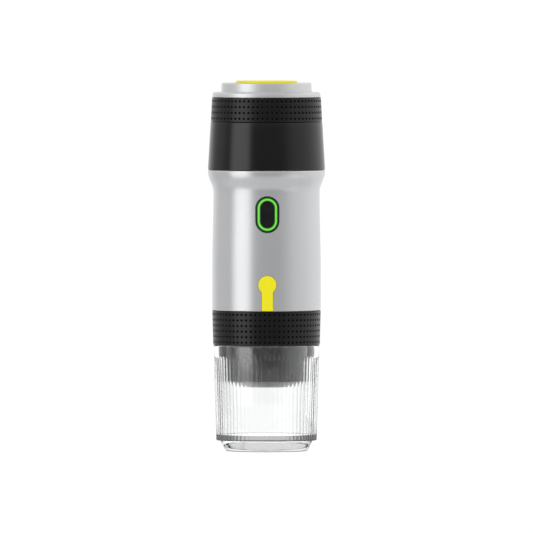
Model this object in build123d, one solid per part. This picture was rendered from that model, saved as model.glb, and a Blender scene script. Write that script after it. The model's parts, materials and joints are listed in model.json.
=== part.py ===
from build123d import *
import os
from math import asin, atan2, cos, degrees, hypot, radians, sin, sqrt

# A battery-powered coffee maker that stands on its own clear cup.
# All sizes are in millimetres. +Z is up, the origin is the middle of the cup's foot on the table,
# and the side with the power button and the charging port faces -Y.
# From the table up: ribbed cup, brew head with the dark spout inside the cup, silver body with
# the cells, pump and control board, black water tank, and the screw-on lid with its yellow inlay.

# Clearances
fit_gap = 0.15  # round the outside of a piece that is fastened into another
run_gap = 0.35  # between pieces that turn or slide on each other
line_gap = 0.2  # the parting line between two outside pieces
edge_round = 0.5  # on the rims of moulded pieces

# Cup, clear copolyester with moulded flutes outside
cup_height = 65.0
cup_inset = 0.85  # how much slimmer the cup's rim is than the body
cup_draft = 1.7
cup_wall = 2.6
cup_floor_level = 10.2
cup_ledge_level = 6.6
cup_ledge_width = 3.0
cup_foot_draft = 2.2
cup_foot_recess = 1.4
cup_foot_rim = 3.2
cup_flutes = 70
cup_flute_depth = 0.2
cup_flute_radius = 3.1
cup_plain_rim = 7.0

# Silicone grip bands
grip_thickness = 1.4
grip_bead = 0.35
grip_fit = 0.1
brew_band_foot = 0.25  # how far the band's lower edge stands out over the cup's rim
brew_band_inset = 0.05

# Outside of the silver body, which is drawn round the cells
body_wall = 1.8
body_swell = 0.75  # from the waist out to the straight lower part
shoulder_flare = 3.4  # from the waist out to the shoulder
body_straight = 24.0  # height over which the body keeps its full radius
waist_below_shoulder = 13.4
shoulder_rim = 1.4

# Brew head
brew_band_height = 21.1
collar_floor = 1.6
collar_wall = 2.15
neck_wall = 3.0
spout_radius = 27.0
spout_draft = 0.4
drip_gap = 1.3  # between the capsule holder and the spout's floor
spout_cone_height = 3.9
spout_flat_radius = 14.5
spout_wall = 1.8
spout_flange = 1.4
spout_flange_width = 1.4
spout_seal_thickness = 2.0
outlet_radius = 2.0
outlet_boss_radius = 6.0
catch_height = 7.0
catch_angle = 32.0
holder_flange = 2.6
capsule_rim_radius = 18.7
capsule_rim_depth = 1.2
capsule_mouth_radius = 15.2
capsule_tip_radius = 12.4
capsule_depth = 28.0
holder_wall = 2.4
piercer_thickness = 0.6
spike_height = 3.4
spike_radius = 1.2
brew_seal_thickness = 2.5
brew_seal_width = 5.0

# Brew group, which clamps the body's bottom lip against the lower deck
group_floor = 3.0
group_step = 1.4
group_rise = 3.0
group_screw_margin = 1.2  # between a screw's head and the shower plate
shower_radius = 15.0
shower_thickness = 0.8
shower_recess = 2.2
channel_radius = 1.1

# Frame inside the body, and the one screw that is used all through it
deck_thickness = 2.4
deck_post_radius = 2.6
deck_collar_height = 3.0
deck_collar_wall = 1.0
fence_inset = 0.4
pin_radius = 1.2
screw_radius = 1.1
screw_head_radius = 2.1
screw_head_height = 1.5
screw_length = 5.4

# Battery cells
cell_orbit = 21.1  # from the body's axis to a cell's axis
cell_radius = 9.2
cell_length = 65.0
cell_spacing = 1.0
cell_link_thickness = 0.3
cell_link_width = 7.0

# Control board
board_width = 30.0
board_thickness = 1.6
board_side_margin = 0.8
board_parts_depth = 2.6
board_parts_margin = 0.4
transistor_width = 6.5
transistor_height = 6.0
transistor_rise = 12.0
coil_side = 7.0
board_socket_width = 8.0
board_socket_height = 5.0
lamp_width = 1.6
lamp_height = 3.0
lamp_depth = 0.8

# Motor and pump
motor_radius = 12.0
motor_headroom = 5.6
motor_wall = 1.0
motor_boss_radius = 4.0
motor_boss_height = 2.5
shaft_radius = 1.0
magnet_thickness = 1.7
motor_air_gap = 0.7
motor_rim_height = 2.0
end_bell_lip = 1.0
end_bell_boss = 0.6
magnet_foot_gap = 3.0
magnet_head_gap = 4.0
grommet_wall = 2.3
pump_radius = 13.0
pump_body_height = 15.0
pump_body_floor = 3.6
pump_cover_height = 12.0
pump_inlet_rise = 7.5
membrane_thickness = 1.0
pump_pad_thickness = 3.0
pump_wall = 3.6
pump_screw_margin = 2.6
swash_thickness = 2.0
swash_foot_radius = 2.0
swash_foot_orbit = 6.2
cam_radius = 4.4
cam_height = 4.0
cam_gap = 0.6
cam_pin_radius = 1.2
cam_pin_length = 2.0
hose_radius = 3.4
hose_bore = 2.4
barb_length = 4.0
hose_bend = 5.5
hose_jog_bend = 3.5

# Water tank and its black shroud
heater_bay_height = 8.3
base_plate_thickness = 2.6
shroud_height = 29.2
shroud_draft = 1.7
shroud_wall = 1.8
shroud_boss_radius = 2.1
shroud_neck_wall = 1.55
tank_wall = 0.7
tank_fit = 0.25
tank_corner = 3.0
tank_lip_margin = 0.4
neck_height = 10.0
heater_gap = 1.1  # between the heater's rim and the tank's outlet
heater_plate_thickness = 2.1
heater_pad_height = 2.0
heater_tube_radius = 1.9
heater_bracket_thickness = 1.4
tank_outlet_radius = 4.2
tank_outlet_nut = 2.4
tank_outlet_angle = -20.0
sensor_reach = 4.2
bead_width = 4.0
bead_depth = 3.0
bead_height = 2.0
cutout_radius = 1.5
cutout_length = 8.0

# Lid
lid_band_height = 14.9
lid_inset = 0.15
lid_draft = 0.7
lid_core_wall = 1.5
lid_plate = 1.8
lid_liner_thickness = 1.6
lid_seal_width = 4.4
lid_screw_circle = 18.8
cap_inset = 0.3
cap_rim_height = 3.2
cap_step_width = 5.45
cap_disc_height = 5.5
cap_wall = 1.6
inlay_radius = 18.8
inlay_thickness = 2.4
inlay_proud = 1.4
vent_radius = 3.0

# Power button and its light ring, in the front of the body
button_headroom = 1.25  # from the button's flange up to the upper deck
button_width = 14.5
button_height = 22.3
button_bezel_width = 0.95
button_ring_width = 1.75
button_flange = 0.8
button_flange_width = 1.2
button_travel = 0.6
switch_size = 6.2
switch_height = 1.6
switch_plunger_radius = 1.75

# Charging port and its yellow plug
port_level_above_body = 16.1
plug_head_radius = 5.55
plug_stem_width = 7.0
plug_neck_round = 1.8
plug_thickness = 1.9
plug_proud = 0.35
plug_hinge_height = 1.9
port_tray_thickness = 0.85
port_tray_margin = 1.4
plug_boss_depth = 0.7
port_width = 8.94
port_height = 3.26
port_shell = 0.3

# Levels, from the table up
collar_level = cup_height + line_gap
brew_band_top = collar_level + brew_band_height
body_level = brew_band_top + line_gap
lip_top = body_level + body_wall
lower_deck_level = lip_top + group_rise
lower_deck_top = lower_deck_level + deck_thickness
cell_level = lower_deck_top + cell_link_thickness
cell_top = cell_level + cell_length
upper_deck_level = cell_top + cell_link_thickness
upper_deck_top = upper_deck_level + deck_thickness
base_plate_level = upper_deck_top + heater_bay_height
body_top = base_plate_level + base_plate_thickness
shroud_level = body_top + line_gap
shroud_top = shroud_level + shroud_height
tank_lip_level = shroud_top + neck_height
tank_lip_top = tank_lip_level + tank_wall
lid_level = shroud_top + line_gap
lid_plate_level = lid_level + lid_band_height - lid_plate
cap_level = lid_level + lid_band_height + line_gap
cap_rim_top = cap_level + cap_rim_height
cap_top = cap_rim_top + cap_disc_height
inlay_top = cap_top + inlay_proud

spout_flange_level = collar_level + collar_floor
holder_level = spout_flange_level + spout_flange + spout_seal_thickness
holder_top = holder_level + holder_flange
brew_seal_top = holder_top + brew_seal_thickness
capsule_floor_level = holder_top - capsule_rim_depth - capsule_depth
holder_bottom = capsule_floor_level - holder_wall / 2
spout_bottom = holder_bottom - drip_gap - spout_wall

# Heater stack, pressed up against the tank's floor by its bracket under the base plate
heater_bracket_level = base_plate_level - heater_bracket_thickness
heater_level = base_plate_level + heater_pad_height
tank_floor_level = heater_level + heater_tube_radius + heater_plate_thickness
tank_outlet_bottom = base_plate_level - 1.6

# Radii from the cells outwards: the frame, then the body, then cup and brew head below it
frame_radius = cell_orbit + cell_radius + fit_gap
waist_radius = frame_radius + run_gap + body_wall
body_radius = waist_radius + body_swell
shoulder_radius = waist_radius + shoulder_flare
cup_rim_radius = body_radius - cup_inset
cup_base_radius = cup_rim_radius - cup_draft
cup_foot_top_radius = cup_base_radius - cup_ledge_width
cup_foot_bottom_radius = cup_foot_top_radius - cup_foot_draft
collar_radius = cup_rim_radius - grip_thickness
collar_bore = collar_radius - collar_wall
neck_radius = collar_bore - run_gap
spigot_radius = neck_radius - group_step
group_screw_circle = shower_radius + group_screw_margin + screw_head_radius
group_boss_radius = group_screw_circle + screw_head_radius + 1.1

# Radii of shroud, lid and tank, from the shoulder inwards
shroud_top_radius = shoulder_radius - shroud_draft
lid_band_bottom_radius = shroud_top_radius - lid_inset
lid_band_top_radius = lid_band_bottom_radius - lid_draft
cap_rim_radius = lid_band_top_radius - cap_inset
cap_disc_radius = cap_rim_radius - cap_step_width
lid_core_radius = lid_band_top_radius - grip_thickness
lid_bore = lid_core_radius - lid_core_wall
tank_mouth_radius = lid_bore - run_gap  # outside of the screw neck
tank_lip_radius = tank_mouth_radius - tank_lip_margin
lid_seal_radius = tank_lip_radius - lid_seal_width
shroud_bore = tank_mouth_radius - shroud_neck_wall
tank_radius = shroud_bore - tank_fit
tank_outlet_reach = tank_radius - tank_wall - tank_corner - tank_outlet_radius - 0.2
heater_radius = tank_outlet_reach - tank_outlet_radius - heater_gap

# Cells side by side at the back, the board across the front, motor and pump between them
cell_step = 2 * degrees(asin((2 * cell_radius + cell_spacing) / (2 * cell_orbit)))
board_front = -sqrt((frame_radius - board_side_margin) ** 2 - (board_width / 2) ** 2)
board_back = board_front + board_thickness
motor_cup_radius = motor_radius + grommet_wall + 0.1 + deck_collar_wall
pump_y = board_back + max(board_parts_depth + pump_radius, motor_cup_radius + fit_gap)
hose_x = pump_radius + barb_length + hose_bend + 0.5
pump_level = lower_deck_top + pump_pad_thickness
pump_body_level = pump_level + pump_cover_height + membrane_thickness
motor_level = pump_body_level + pump_body_height
motor_top = upper_deck_level - motor_headroom
barb_level = pump_level + pump_inlet_rise
cam_level = motor_level - cam_gap - cam_height

# The button's layers: how deep each one's back lies below the body's surface
bezel_depth = body_wall + fit_gap + button_flange
ring_depth = bezel_depth + button_flange
key_depth = ring_depth + button_flange
button_level = upper_deck_level - button_headroom - button_flange_width - button_height / 2
port_level = body_level + port_level_above_body
plug_hinge_level = body_level + plug_hinge_height


def turned(outline):
    """A round piece: a closed outline of (radius, height) points turned about the upright axis."""
    return revolve(make_face(Plane.XZ * Polyline(*outline, close=True)), Axis.Z)


def ring(inner, outer, low, high):
    """A plain tube or washer."""
    return turned([(inner, low), (outer, low), (outer, high), (inner, high)])


def rod(radius, low, high, x=0.0, y=0.0):
    """An upright cylinder."""
    return Pos(x, y, (low + high) / 2) * Cylinder(radius, high - low)


def spaced(piece, count, start=0.0):
    """Copies of a piece spread evenly round the upright axis."""
    return [Rot(Z=start + 360 * i / count) * piece for i in range(count)]


def one(pieces, x=0.0, y=0.0):
    """Several solids kept apart in one piece, moved to a place."""
    return Compound(children=[Pos(x, y) * solid for piece in pieces for solid in piece.solids()])


def circle_places(radius, count, start):
    """Places spread evenly on a circle."""
    turns = [radians(start + 360 * i / count) for i in range(count)]
    return [(radius * cos(t), radius * sin(t)) for t in turns]


def stadium(width, height, level):
    """An upright slot shape in the front plane, centred on the given level."""
    face = Plane.XZ * Pos(0, level) * SlotOverall(height, width, rotation=90)
    return extrude(face, 2 * shoulder_radius, dir=(0, -1, 0))


def screw(x, y, level, length=screw_length):
    """A screw that is driven upwards: level is the underside of what its head pulls on."""
    head = rod(screw_head_radius, level - screw_head_height, level, x, y)
    return head + rod(screw_radius, level, level + length, x, y)


def screw_way(x, y, low, level, high):
    """Room for a screw: its head's pocket from low up to level, and its clearance hole to high."""
    pocket = rod(screw_head_radius + fit_gap, low, level, x, y)
    return pocket + rod(screw_radius + fit_gap, level, high, x, y)


# Outside of the body


def body_curve(offset, low, high):
    """The body's outside line, moved outwards by offset: straight, in to the waist, out to the shoulder."""
    waist_level = body_top - waist_below_shoulder
    rim = body_top - shoulder_rim
    straight = body_level + body_straight
    start = (body_radius + offset, low)
    full = (body_radius + offset, straight)
    waist = (waist_radius + offset, waist_level)
    rim_point = (shoulder_radius + offset, rim)
    return (
        Line(start, full)
        + Spline(full, waist, tangents=((0, 1), (0, 1)))
        + Spline(waist, rim_point, tangents=((0, 1), (0, 1)))
        + Line(rim_point, (shoulder_radius + offset, high))
    )


def body_skin(outside, inside):
    """A layer that follows the body's surface, from outside to inside of it."""
    low, high = body_level - 1, body_top + 1
    outer = body_curve(outside, low, high)
    inner = body_curve(-inside, low, high)
    ends = Line(outer @ 0, inner @ 0) + Line(outer @ 1, inner @ 1)
    return revolve(make_face(Plane.XZ * (outer + inner + ends)), Axis.Z)


def body_outside():
    """The full solid inside the body's outside surface."""
    outer = body_curve(0, body_level, body_top)
    low, high = outer @ 0, outer @ 1
    axis = Polyline((low.X, low.Y), (0, low.Y), (0, high.Y), (high.X, high.Y))
    return revolve(make_face(Plane.XZ * (outer + axis)), Axis.Z)


def body_bore():
    """The hollow of the body, above its bottom lip."""
    inner = body_curve(-body_wall, lip_top, body_top)
    low, high = inner @ 0, inner @ 1
    axis = Polyline((low.X, low.Y), (0, low.Y), (0, high.Y), (high.X, high.Y))
    return revolve(make_face(Plane.XZ * (inner + axis)), Axis.Z)


def keyhole(grow, low):
    """The plug's outline as a prism through the front: a round head with a stem down to low."""
    half = plug_stem_width / 2 + grow
    outline = Pos(0, port_level) * Circle(plug_head_radius + grow)
    outline += Pos(0, (low + port_level) / 2) * Rectangle(2 * half, port_level - low)
    corners = [v for v in outline.vertices() if abs(abs(v.X) - half) < 0.01 and v.Y > low + 1]
    outline = fillet(corners, plug_neck_round - grow)
    return extrude(Plane.XZ * outline, 2 * shoulder_radius, dir=(0, -1, 0))


def main_shell():
    """The silver body: open at the top, with a lip turned in at the bottom and two front windows."""
    shell = body_outside() - body_bore()
    shell -= rod(spigot_radius + fit_gap, body_level - 1, lip_top + 1)
    shell -= stadium(button_width + 2 * fit_gap, button_height + 2 * fit_gap, button_level)
    shell -= keyhole(fit_gap, lip_top)
    strap_seat = body_skin(1.0, plug_thickness - plug_proud + fit_gap)
    return shell - (keyhole(fit_gap, body_level - 1) & strap_seat)


# Power button


def button_outline(inset):
    """The button's upright slot shape, as far inside the bezel's edge as inset says."""
    return stadium(button_width - 2 * inset, button_height - 2 * inset, button_level)


def button_bezel():
    """Black frame, glued in from behind: its flange is wider than the body's window."""
    face = body_skin(0.2, body_wall + fit_gap) & button_outline(0)
    flange = body_skin(-body_wall - fit_gap, bezel_depth) & button_outline(-button_flange_width)
    return face + flange - button_outline(button_bezel_width)


def button_light_ring():
    """Clear green ring, with a flange behind the bezel where the lamps shine in."""
    outer = button_bezel_width + fit_gap / 2
    face = body_skin(0.1, bezel_depth) & button_outline(outer)
    flange = body_skin(-bezel_depth, ring_depth) & button_outline(0)
    return face + flange - button_outline(outer + button_ring_width)


def button_key():
    """The key that is pressed, kept in by a flange behind the light ring."""
    edge = button_bezel_width + button_ring_width + fit_gap / 2 + 0.2
    face = body_skin(0.1, ring_depth + 0.1) & button_outline(edge)
    flange = body_skin(-ring_depth - 0.05, key_depth) & button_outline(edge - button_flange)
    return face + flange


def button_rod(radius, back, front):
    """A round bar on the button's axis."""
    middle = (back + front) / 2
    return Pos(0, middle, button_level) * Rot(X=90) * Cylinder(radius, back - front)


def tact_switch():
    front = board_front - switch_height
    middle = (front + board_front) / 2
    body = Pos(0, middle, button_level) * Box(switch_size, switch_height, switch_size)
    well_bottom = front + button_travel + 0.4
    return body - button_rod(switch_plunger_radius + fit_gap, well_bottom, front - 1)


def switch_plunger():
    """The switch's own button, which stands against the key's back."""
    back = board_front - switch_height + 0.35
    return button_rod(switch_plunger_radius, back, -(waist_radius - key_depth))


# Charging port


def port_tray():
    """Black plate behind the plug's window, with the charging socket's mouth in it."""
    skin = body_skin(-body_wall - fit_gap, body_wall + fit_gap + port_tray_thickness)
    tray = skin & keyhole(port_tray_margin, lip_top)
    face = Plane.XZ * Pos(0, port_level) * SlotOverall(
        port_width + 2 * fit_gap, port_height + 2 * fit_gap
    )
    return tray - extrude(face, 2 * shoulder_radius, dir=(0, -1, 0))


def port_mouth():
    """How far forward the charging receptacle reaches."""
    return -(body_radius - body_wall - fit_gap)


def charge_port():
    length = board_front - port_mouth()
    middle = (board_front + port_mouth()) / 2
    face = Plane.XZ * SlotOverall(port_width, port_height)
    hollow = Plane.XZ * SlotOverall(port_width - 2 * port_shell, port_height - 2 * port_shell)
    shell = extrude(face, length / 2, both=True)
    shell -= Pos(0, -port_shell, 0) * extrude(hollow, length / 2, both=True)
    tongue = Pos(0, 0.8, 0) * Box(port_width - 2.3, length - 1.6, 0.7)
    return Pos(0, middle, port_level) * (shell + tongue)


def plug_sealing_boss():
    """The raised pad on the plug's back that closes the receptacle's mouth."""
    start = port_mouth() - run_gap
    face = Plane.XZ * SlotOverall(port_width - 1.4, port_height - 1.4)
    pad = extrude(face, plug_boss_depth + 1.0, dir=(0, -1, 0))
    return Pos(0, start + plug_boss_depth, port_level) * pad


def port_plug():
    """The moving part of the yellow plug: head, sealing boss and strap down to its bend."""
    inside = plug_thickness - plug_proud
    plug = body_skin(plug_proud, inside) & keyhole(0, plug_hinge_level)
    knuckle_y = -(body_radius + plug_proud - plug_thickness / 2)
    knuckle = Pos(0, knuckle_y, plug_hinge_level) * (
        Rot(Y=90) * Cylinder(plug_thickness / 2, plug_stem_width)
    )
    return plug + plug_sealing_boss() + knuckle


def port_plug_anchor():
    """The fixed tail of the plug's strap, with the tab that holds it behind the tray."""
    inside = plug_thickness - plug_proud
    top = plug_hinge_level - plug_thickness / 2 - 0.1
    low = body_level
    tail = body_skin(plug_proud, inside) & keyhole(0, low - 1)
    keep = Pos(0, 0, (low + top) / 2) * Box(4 * body_radius, 4 * body_radius, top - low)
    tail = tail & keep
    corner = Pos(0, -(body_radius + plug_proud), top) * (Rot(X=45) * Box(2 * plug_stem_width, 1.2, 1.2))
    return tail - corner


# Brew group and what hangs from it


def group_screw_places():
    return circle_places(group_screw_circle, 4, 45)


def group_screw_level():
    return lower_deck_level + deck_thickness - screw_length


def brew_group():
    """Neck for the brew head, with a boss that carries the shower plate and a spigot in the body's lip."""
    group = ring(neck_radius - neck_wall, neck_radius, holder_top + 1.0, body_level)
    group += rod(neck_radius, body_level - group_floor, body_level)
    group += rod(group_boss_radius, brew_seal_top, body_level)
    group += rod(spigot_radius, body_level, lower_deck_level)
    group -= rod(shower_radius + fit_gap, brew_seal_top - 1, brew_seal_top + shower_recess)
    for x, y in group_screw_places():
        group -= screw_way(x, y, brew_seal_top - 1, group_screw_level(), lower_deck_level + 1)
    group -= rod(screw_radius, brew_seal_top, shower_level() + screw_length + 0.5)
    group += rod(hose_bore - 0.1, lower_deck_level, lower_deck_top + barb_length, -hose_x, pump_y)
    return group - water_channel()


def water_channel():
    """The drilled way from the delivery hose's barb down to the space behind the shower plate."""
    level = (body_level + lower_deck_level) / 2
    start, reach = shower_radius / 2, hypot(hose_x, pump_y)
    across = Pos((start + reach) / 2, 0, level) * Rot(Y=90) * Cylinder(channel_radius, reach - start)
    down = rod(channel_radius, brew_seal_top, level, start)
    rise = rod(channel_radius, level, lower_deck_top + barb_length + 1, -hose_x, pump_y)
    return Rot(Z=degrees(atan2(pump_y, -hose_x))) * (across + down) + rise


def shower_level():
    """The upper side of the shower plate's edge, against which its screw pulls."""
    return brew_seal_top + 0.1


def shower_plate():
    """Stainless disc that spreads the water, with spikes that open the capsule's foil."""
    low, top = shower_level(), shower_level() + shower_thickness
    plate = rod(shower_radius, low, top)
    spike = Pos(0.63 * shower_radius, 0, low - spike_height / 2) * Cone(0.05, spike_radius, spike_height)
    for part in spaced(spike, 3, 90):
        plate += part
    for reach, count in ((6.0, 6), (12.6, 12)):
        plate -= spaced(rod(0.6, low - 1, top + 1, reach), count, 180 / count)
    return plate - rod(screw_radius + fit_gap, low - 1, top + 1)


def brew_seal():
    inner = capsule_mouth_radius + 0.6
    return ring(inner, inner + brew_seal_width, holder_top + 0.05, brew_seal_top - 0.05)


# Brew head


def brew_collar():
    bottom, top = collar_level, brew_band_top
    pocket = spout_radius + spout_flange_width + fit_gap
    outline = [
        (spout_radius + fit_gap, bottom),
        (collar_radius - edge_round, bottom),
        (collar_radius, bottom + edge_round),
        (collar_radius, top - edge_round),
        (collar_radius - edge_round, top),
        (collar_bore, top),
        (collar_bore, holder_level),
        (pocket, holder_level),
        (pocket, spout_flange_level),
        (spout_radius + fit_gap, spout_flange_level),
    ]
    collar = turned(outline)
    catch = ring(
        spout_radius + fit_gap, cup_bore(cup_height) - run_gap, bottom - catch_height, bottom
    ) & catch_wedge()
    for part in spaced(catch, 2):
        collar += part
    return collar


def catch_wedge():
    """The sector that one cup catch fills, towards +X."""
    half = radians(catch_angle / 2)
    reach = 2 * cup_rim_radius
    corners = [(0, 0), (reach, -reach * sin(half) / cos(half)), (reach, reach * sin(half) / cos(half))]
    face = make_face(Polyline(*corners, close=True))
    return Pos(0, 0, collar_level - 2 * catch_height) * extrude(face, 3 * catch_height)


def grip_band(low, high, low_radius, high_radius, inner):
    """A slightly tapered silicone sleeve with beaded edges."""
    return turned(
        [
            (inner, low),
            (low_radius - grip_bead, low),
            (low_radius, low + grip_bead),
            (high_radius, high - grip_bead),
            (high_radius - grip_bead, high),
            (inner, high),
        ]
    )


def brew_grip_band():
    low_radius = cup_rim_radius + brew_band_foot
    high_radius = body_radius - brew_band_inset
    return grip_band(collar_level, brew_band_top, low_radius, high_radius, collar_radius + grip_fit)


def capsule_holder():
    floor = capsule_floor_level
    rim_plane = holder_top - capsule_rim_depth
    outline = [
        (0, holder_bottom),
        (capsule_tip_radius + holder_wall, holder_bottom),
        (capsule_mouth_radius + holder_wall, holder_level),
        (collar_bore - fit_gap, holder_level),
        (collar_bore - fit_gap, holder_top),
        (capsule_rim_radius + 0.3, holder_top),
        (capsule_rim_radius + 0.3, rim_plane),
        (capsule_mouth_radius, rim_plane),
        (capsule_tip_radius, floor),
        (0, floor),
    ]
    holder = turned(outline)
    drain = rod(1.3, floor - holder_wall, floor + 1, 5.2, 0)
    for hole in spaced(drain, 6, 30):
        holder -= hole
    return holder


def capsule_piercer():
    """Stainless disc on the holder's floor, with spikes that open the capsule's tip."""
    low = capsule_floor_level
    plate = rod(capsule_tip_radius - 0.3, low, low + piercer_thickness)
    spike = Pos(8.2, 0, low + piercer_thickness + spike_height / 2) * Cone(spike_radius, 0.05, spike_height)
    for part in spaced(spike, 3, 0):
        plate += part
    for hole in spaced(rod(0.9, low - 1, low + 2, 5.2, 0), 6, 30):
        plate -= hole
    return plate


def spout_cover():
    """The dark pot inside the cup: its flange is held in the collar and its floor slopes to the outlet."""
    bottom, rim = spout_bottom, spout_flange_level + spout_flange
    cone = bottom + spout_cone_height
    low_radius = spout_radius - spout_draft
    outline = [
        (outlet_boss_radius + fit_gap, bottom),
        (spout_flat_radius, bottom),
        (low_radius, cone),
        (spout_radius, collar_level),
        (spout_radius, spout_flange_level),
        (spout_radius + spout_flange_width, spout_flange_level),
        (spout_radius + spout_flange_width, rim),
        (spout_radius - spout_wall, rim),
        (low_radius - spout_wall, cone + 0.6),
        (spout_flat_radius, bottom + spout_wall),
        (outlet_boss_radius + fit_gap, bottom + spout_wall / 2),
    ]
    return turned(outline)


def spout_insert():
    """The small outlet fitting pressed into the middle of the spout's floor."""
    bottom = spout_bottom
    outline = [
        (outlet_radius, bottom),
        (outlet_boss_radius, bottom),
        (outlet_boss_radius, bottom + spout_wall / 2),
        (outlet_radius + 1.0, bottom + spout_wall / 2 - 0.3),
        (outlet_radius, bottom + 0.4),
    ]
    return turned(outline)


def spout_seal():
    return ring(
        capsule_mouth_radius + holder_wall + 0.4,
        spout_radius + spout_flange_width,
        spout_flange_level + spout_flange,
        holder_level,
    )


# Cup


def cup_outside(level):
    """The cup's outside radius at a level above its ledge."""
    share = (level - cup_ledge_level) / (cup_height - cup_ledge_level)
    return cup_base_radius + (cup_rim_radius - cup_base_radius) * share


def cup_bore(level):
    return cup_outside(level) - cup_wall


def cup():
    rim_round, floor_round = 0.8, 1.7
    outer = [
        (0, cup_foot_recess),
        (cup_foot_bottom_radius - cup_foot_rim, cup_foot_recess),
        (cup_foot_bottom_radius - cup_foot_rim + 0.8, 0),
        (cup_foot_bottom_radius - 0.8, 0),
        (cup_foot_bottom_radius, 0.9),
        (cup_foot_top_radius, cup_ledge_level),
        (cup_base_radius - 0.4, cup_ledge_level),
        (cup_base_radius, cup_ledge_level + 0.4),
        (cup_rim_radius, cup_height - rim_round),
        (cup_rim_radius - rim_round, cup_height),
        (cup_rim_radius - cup_wall + rim_round, cup_height),
        (cup_bore(cup_height), cup_height - rim_round),
        (cup_bore(cup_floor_level + floor_round), cup_floor_level + floor_round),
        (cup_bore(cup_floor_level) - 0.5, cup_floor_level + 0.5),
        (cup_bore(cup_floor_level) - floor_round, cup_floor_level),
        (0, cup_floor_level),
    ]
    return turned(outer) - flutes()


def flutes():
    """Slim round cutters that lie along the cup's taper and leave a rib between each pair."""
    low, high = cup_ledge_level - 1, cup_height - cup_plain_rim
    lean = degrees(atan2(cup_outside(high) - cup_outside(low), high - low))
    standoff = cup_flute_radius - cup_flute_depth
    middle = (low + high) / 2
    cutter = Pos(cup_outside(middle) + standoff, 0, middle) * Rot(Y=lean) * Cylinder(
        cup_flute_radius, high - low
    )
    return spaced(cutter, cup_flutes)


# Frame inside the body


def cell_places():
    turns = [radians(90 + i * cell_step) for i in (-1, 0, 1)]
    return [(cell_orbit * cos(t), cell_orbit * sin(t)) for t in turns]


def post_places():
    """Posts between the decks: two in the gaps between the cells, two beside the board."""
    orbit = frame_radius - deck_post_radius - 0.2
    turns = [radians(a) for a in (90 - cell_step / 2, 90 + cell_step / 2, -38, -142)]
    return [(orbit * cos(t), orbit * sin(t)) for t in turns]


def base_screw_places():
    """Where the upper deck is screwed up into the base plate's two bosses."""
    side = frame_radius - deck_post_radius - 3.4
    return [(-side, 0.5), (side, 0.5)]


def base_pin_places():
    """The base plate's two other bosses, which stand on the deck with a pin in it."""
    reach = frame_radius - deck_post_radius - 1.6
    return [(0, -reach), (0, reach)]


def shroud_screw_places():
    middle = (tank_radius + shroud_top_radius - shroud_wall) / 2 + 0.3
    return circle_places(middle, 3, 45)


def bracket_screw_places():
    return circle_places(heater_radius + 4.5, 3, 35)


def body_screws():
    """The screws that hold group, decks, base plate, heater bracket and shroud, all of one size."""
    screws = [screw(x, y, group_screw_level()) for x, y in group_screw_places()]
    screws += [screw(x, y, post_screw_level()) for x, y in post_places()]
    screws += [screw(x, y, upper_deck_level) for x, y in base_screw_places()]
    screws += [screw(x, y, base_plate_level) for x, y in shroud_screw_places()]
    screws += [screw(x, y, heater_bracket_level) for x, y in bracket_screw_places()]
    screws.append(screw(0, 0, shower_level()))
    return one(screws)


def post_screw_level():
    """The posts' screws are sunk in the lower deck, clear of the brew group below."""
    return lower_deck_level + screw_head_height + 0.1


def deck_fences(low, high):
    """On a deck: rings round the cells' ends and grooved blocks for the board's corners."""
    fences = [Pos(x, y) * rod(cell_radius + deck_collar_wall, low, high) for x, y in cell_places()]
    middle = (board_front + board_back) / 2
    for side in (-1, 1):
        place = Pos(side * (board_width / 2 - 2.0), middle, (low + high) / 2)
        block = place * Box(5.0, board_thickness + 3.0, high - low)
        fences.append(block - place * Box(6.0, board_thickness + 2 * fit_gap, high - low))
    within = rod(frame_radius - fence_inset, low, high)
    for x, y in cell_places():
        within -= rod(cell_radius + fit_gap, low - 1, high + 1, x, y)
    return [fence & within for fence in fences]


def lower_deck():
    """Floor of the frame: its rim stands on the body's lip and its top carries cells, board and pump."""
    low, top = lower_deck_level, lower_deck_top
    deck = rod(frame_radius, low, top)
    deck += ring(spigot_radius + 0.4, frame_radius, lip_top, low)
    deck += deck_fences(top, top + deck_collar_height)
    deck += Pos(0, pump_y) * ring(pump_radius + fit_gap, pump_radius + 1.4, top, pump_level)
    for x, y in post_places():
        deck -= screw_way(x, y, lip_top, post_screw_level(), top + 1)
    for x, y in group_screw_places():
        deck -= rod(screw_radius, low - 1, top, x, y)
    deck -= rod(hose_bore + fit_gap, low - 1, top + 1, -hose_x, pump_y)
    return deck - link_strips(lower_deck_top, 1, 2, fit_gap)


def upper_deck():
    """Roof of the frame, with the four posts that the lower deck is screwed to."""
    low, top = upper_deck_level, upper_deck_top
    deck = rod(frame_radius, low, top)
    deck += deck_fences(low - deck_collar_height, low)
    cup_ring = ring(motor_cup_radius - deck_collar_wall, motor_cup_radius, motor_top - 3.0, low)
    deck += Pos(0, pump_y) * cup_ring
    deck -= rod(motor_boss_radius + run_gap, low - 1, top + 1, 0, pump_y)
    for x, y in post_places():
        deck += rod(deck_post_radius, lower_deck_top, low, x, y)
        deck -= rod(screw_radius, lower_deck_top - 1, post_screw_level() + screw_length + 0.5, x, y)
    for x, y in base_screw_places():
        deck -= rod(screw_radius + fit_gap, low - 1, top + 1, x, y)
    for x, y in base_pin_places():
        deck -= rod(pin_radius + fit_gap, low - 1, top + 1, x, y)
    deck -= rod(hose_radius + run_gap, low - 1, top + 1, hose_x, pump_y)
    return deck - link_strips(cell_top, 0, 1, fit_gap)


def battery_cells():
    """Three wrapped cells, each with its raised cap at the top end."""
    cell = turned(
        [
            (0, cell_level),
            (cell_radius - 0.4, cell_level),
            (cell_radius, cell_level + 0.4),
            (cell_radius, cell_top - 1.2),
            (cell_radius - 0.8, cell_top - 0.5),
            (3.6, cell_top - 0.5),
            (3.2, cell_top),
            (0, cell_top),
        ]
    )
    return one([Pos(x, y) * cell for x, y in cell_places()])


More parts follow.
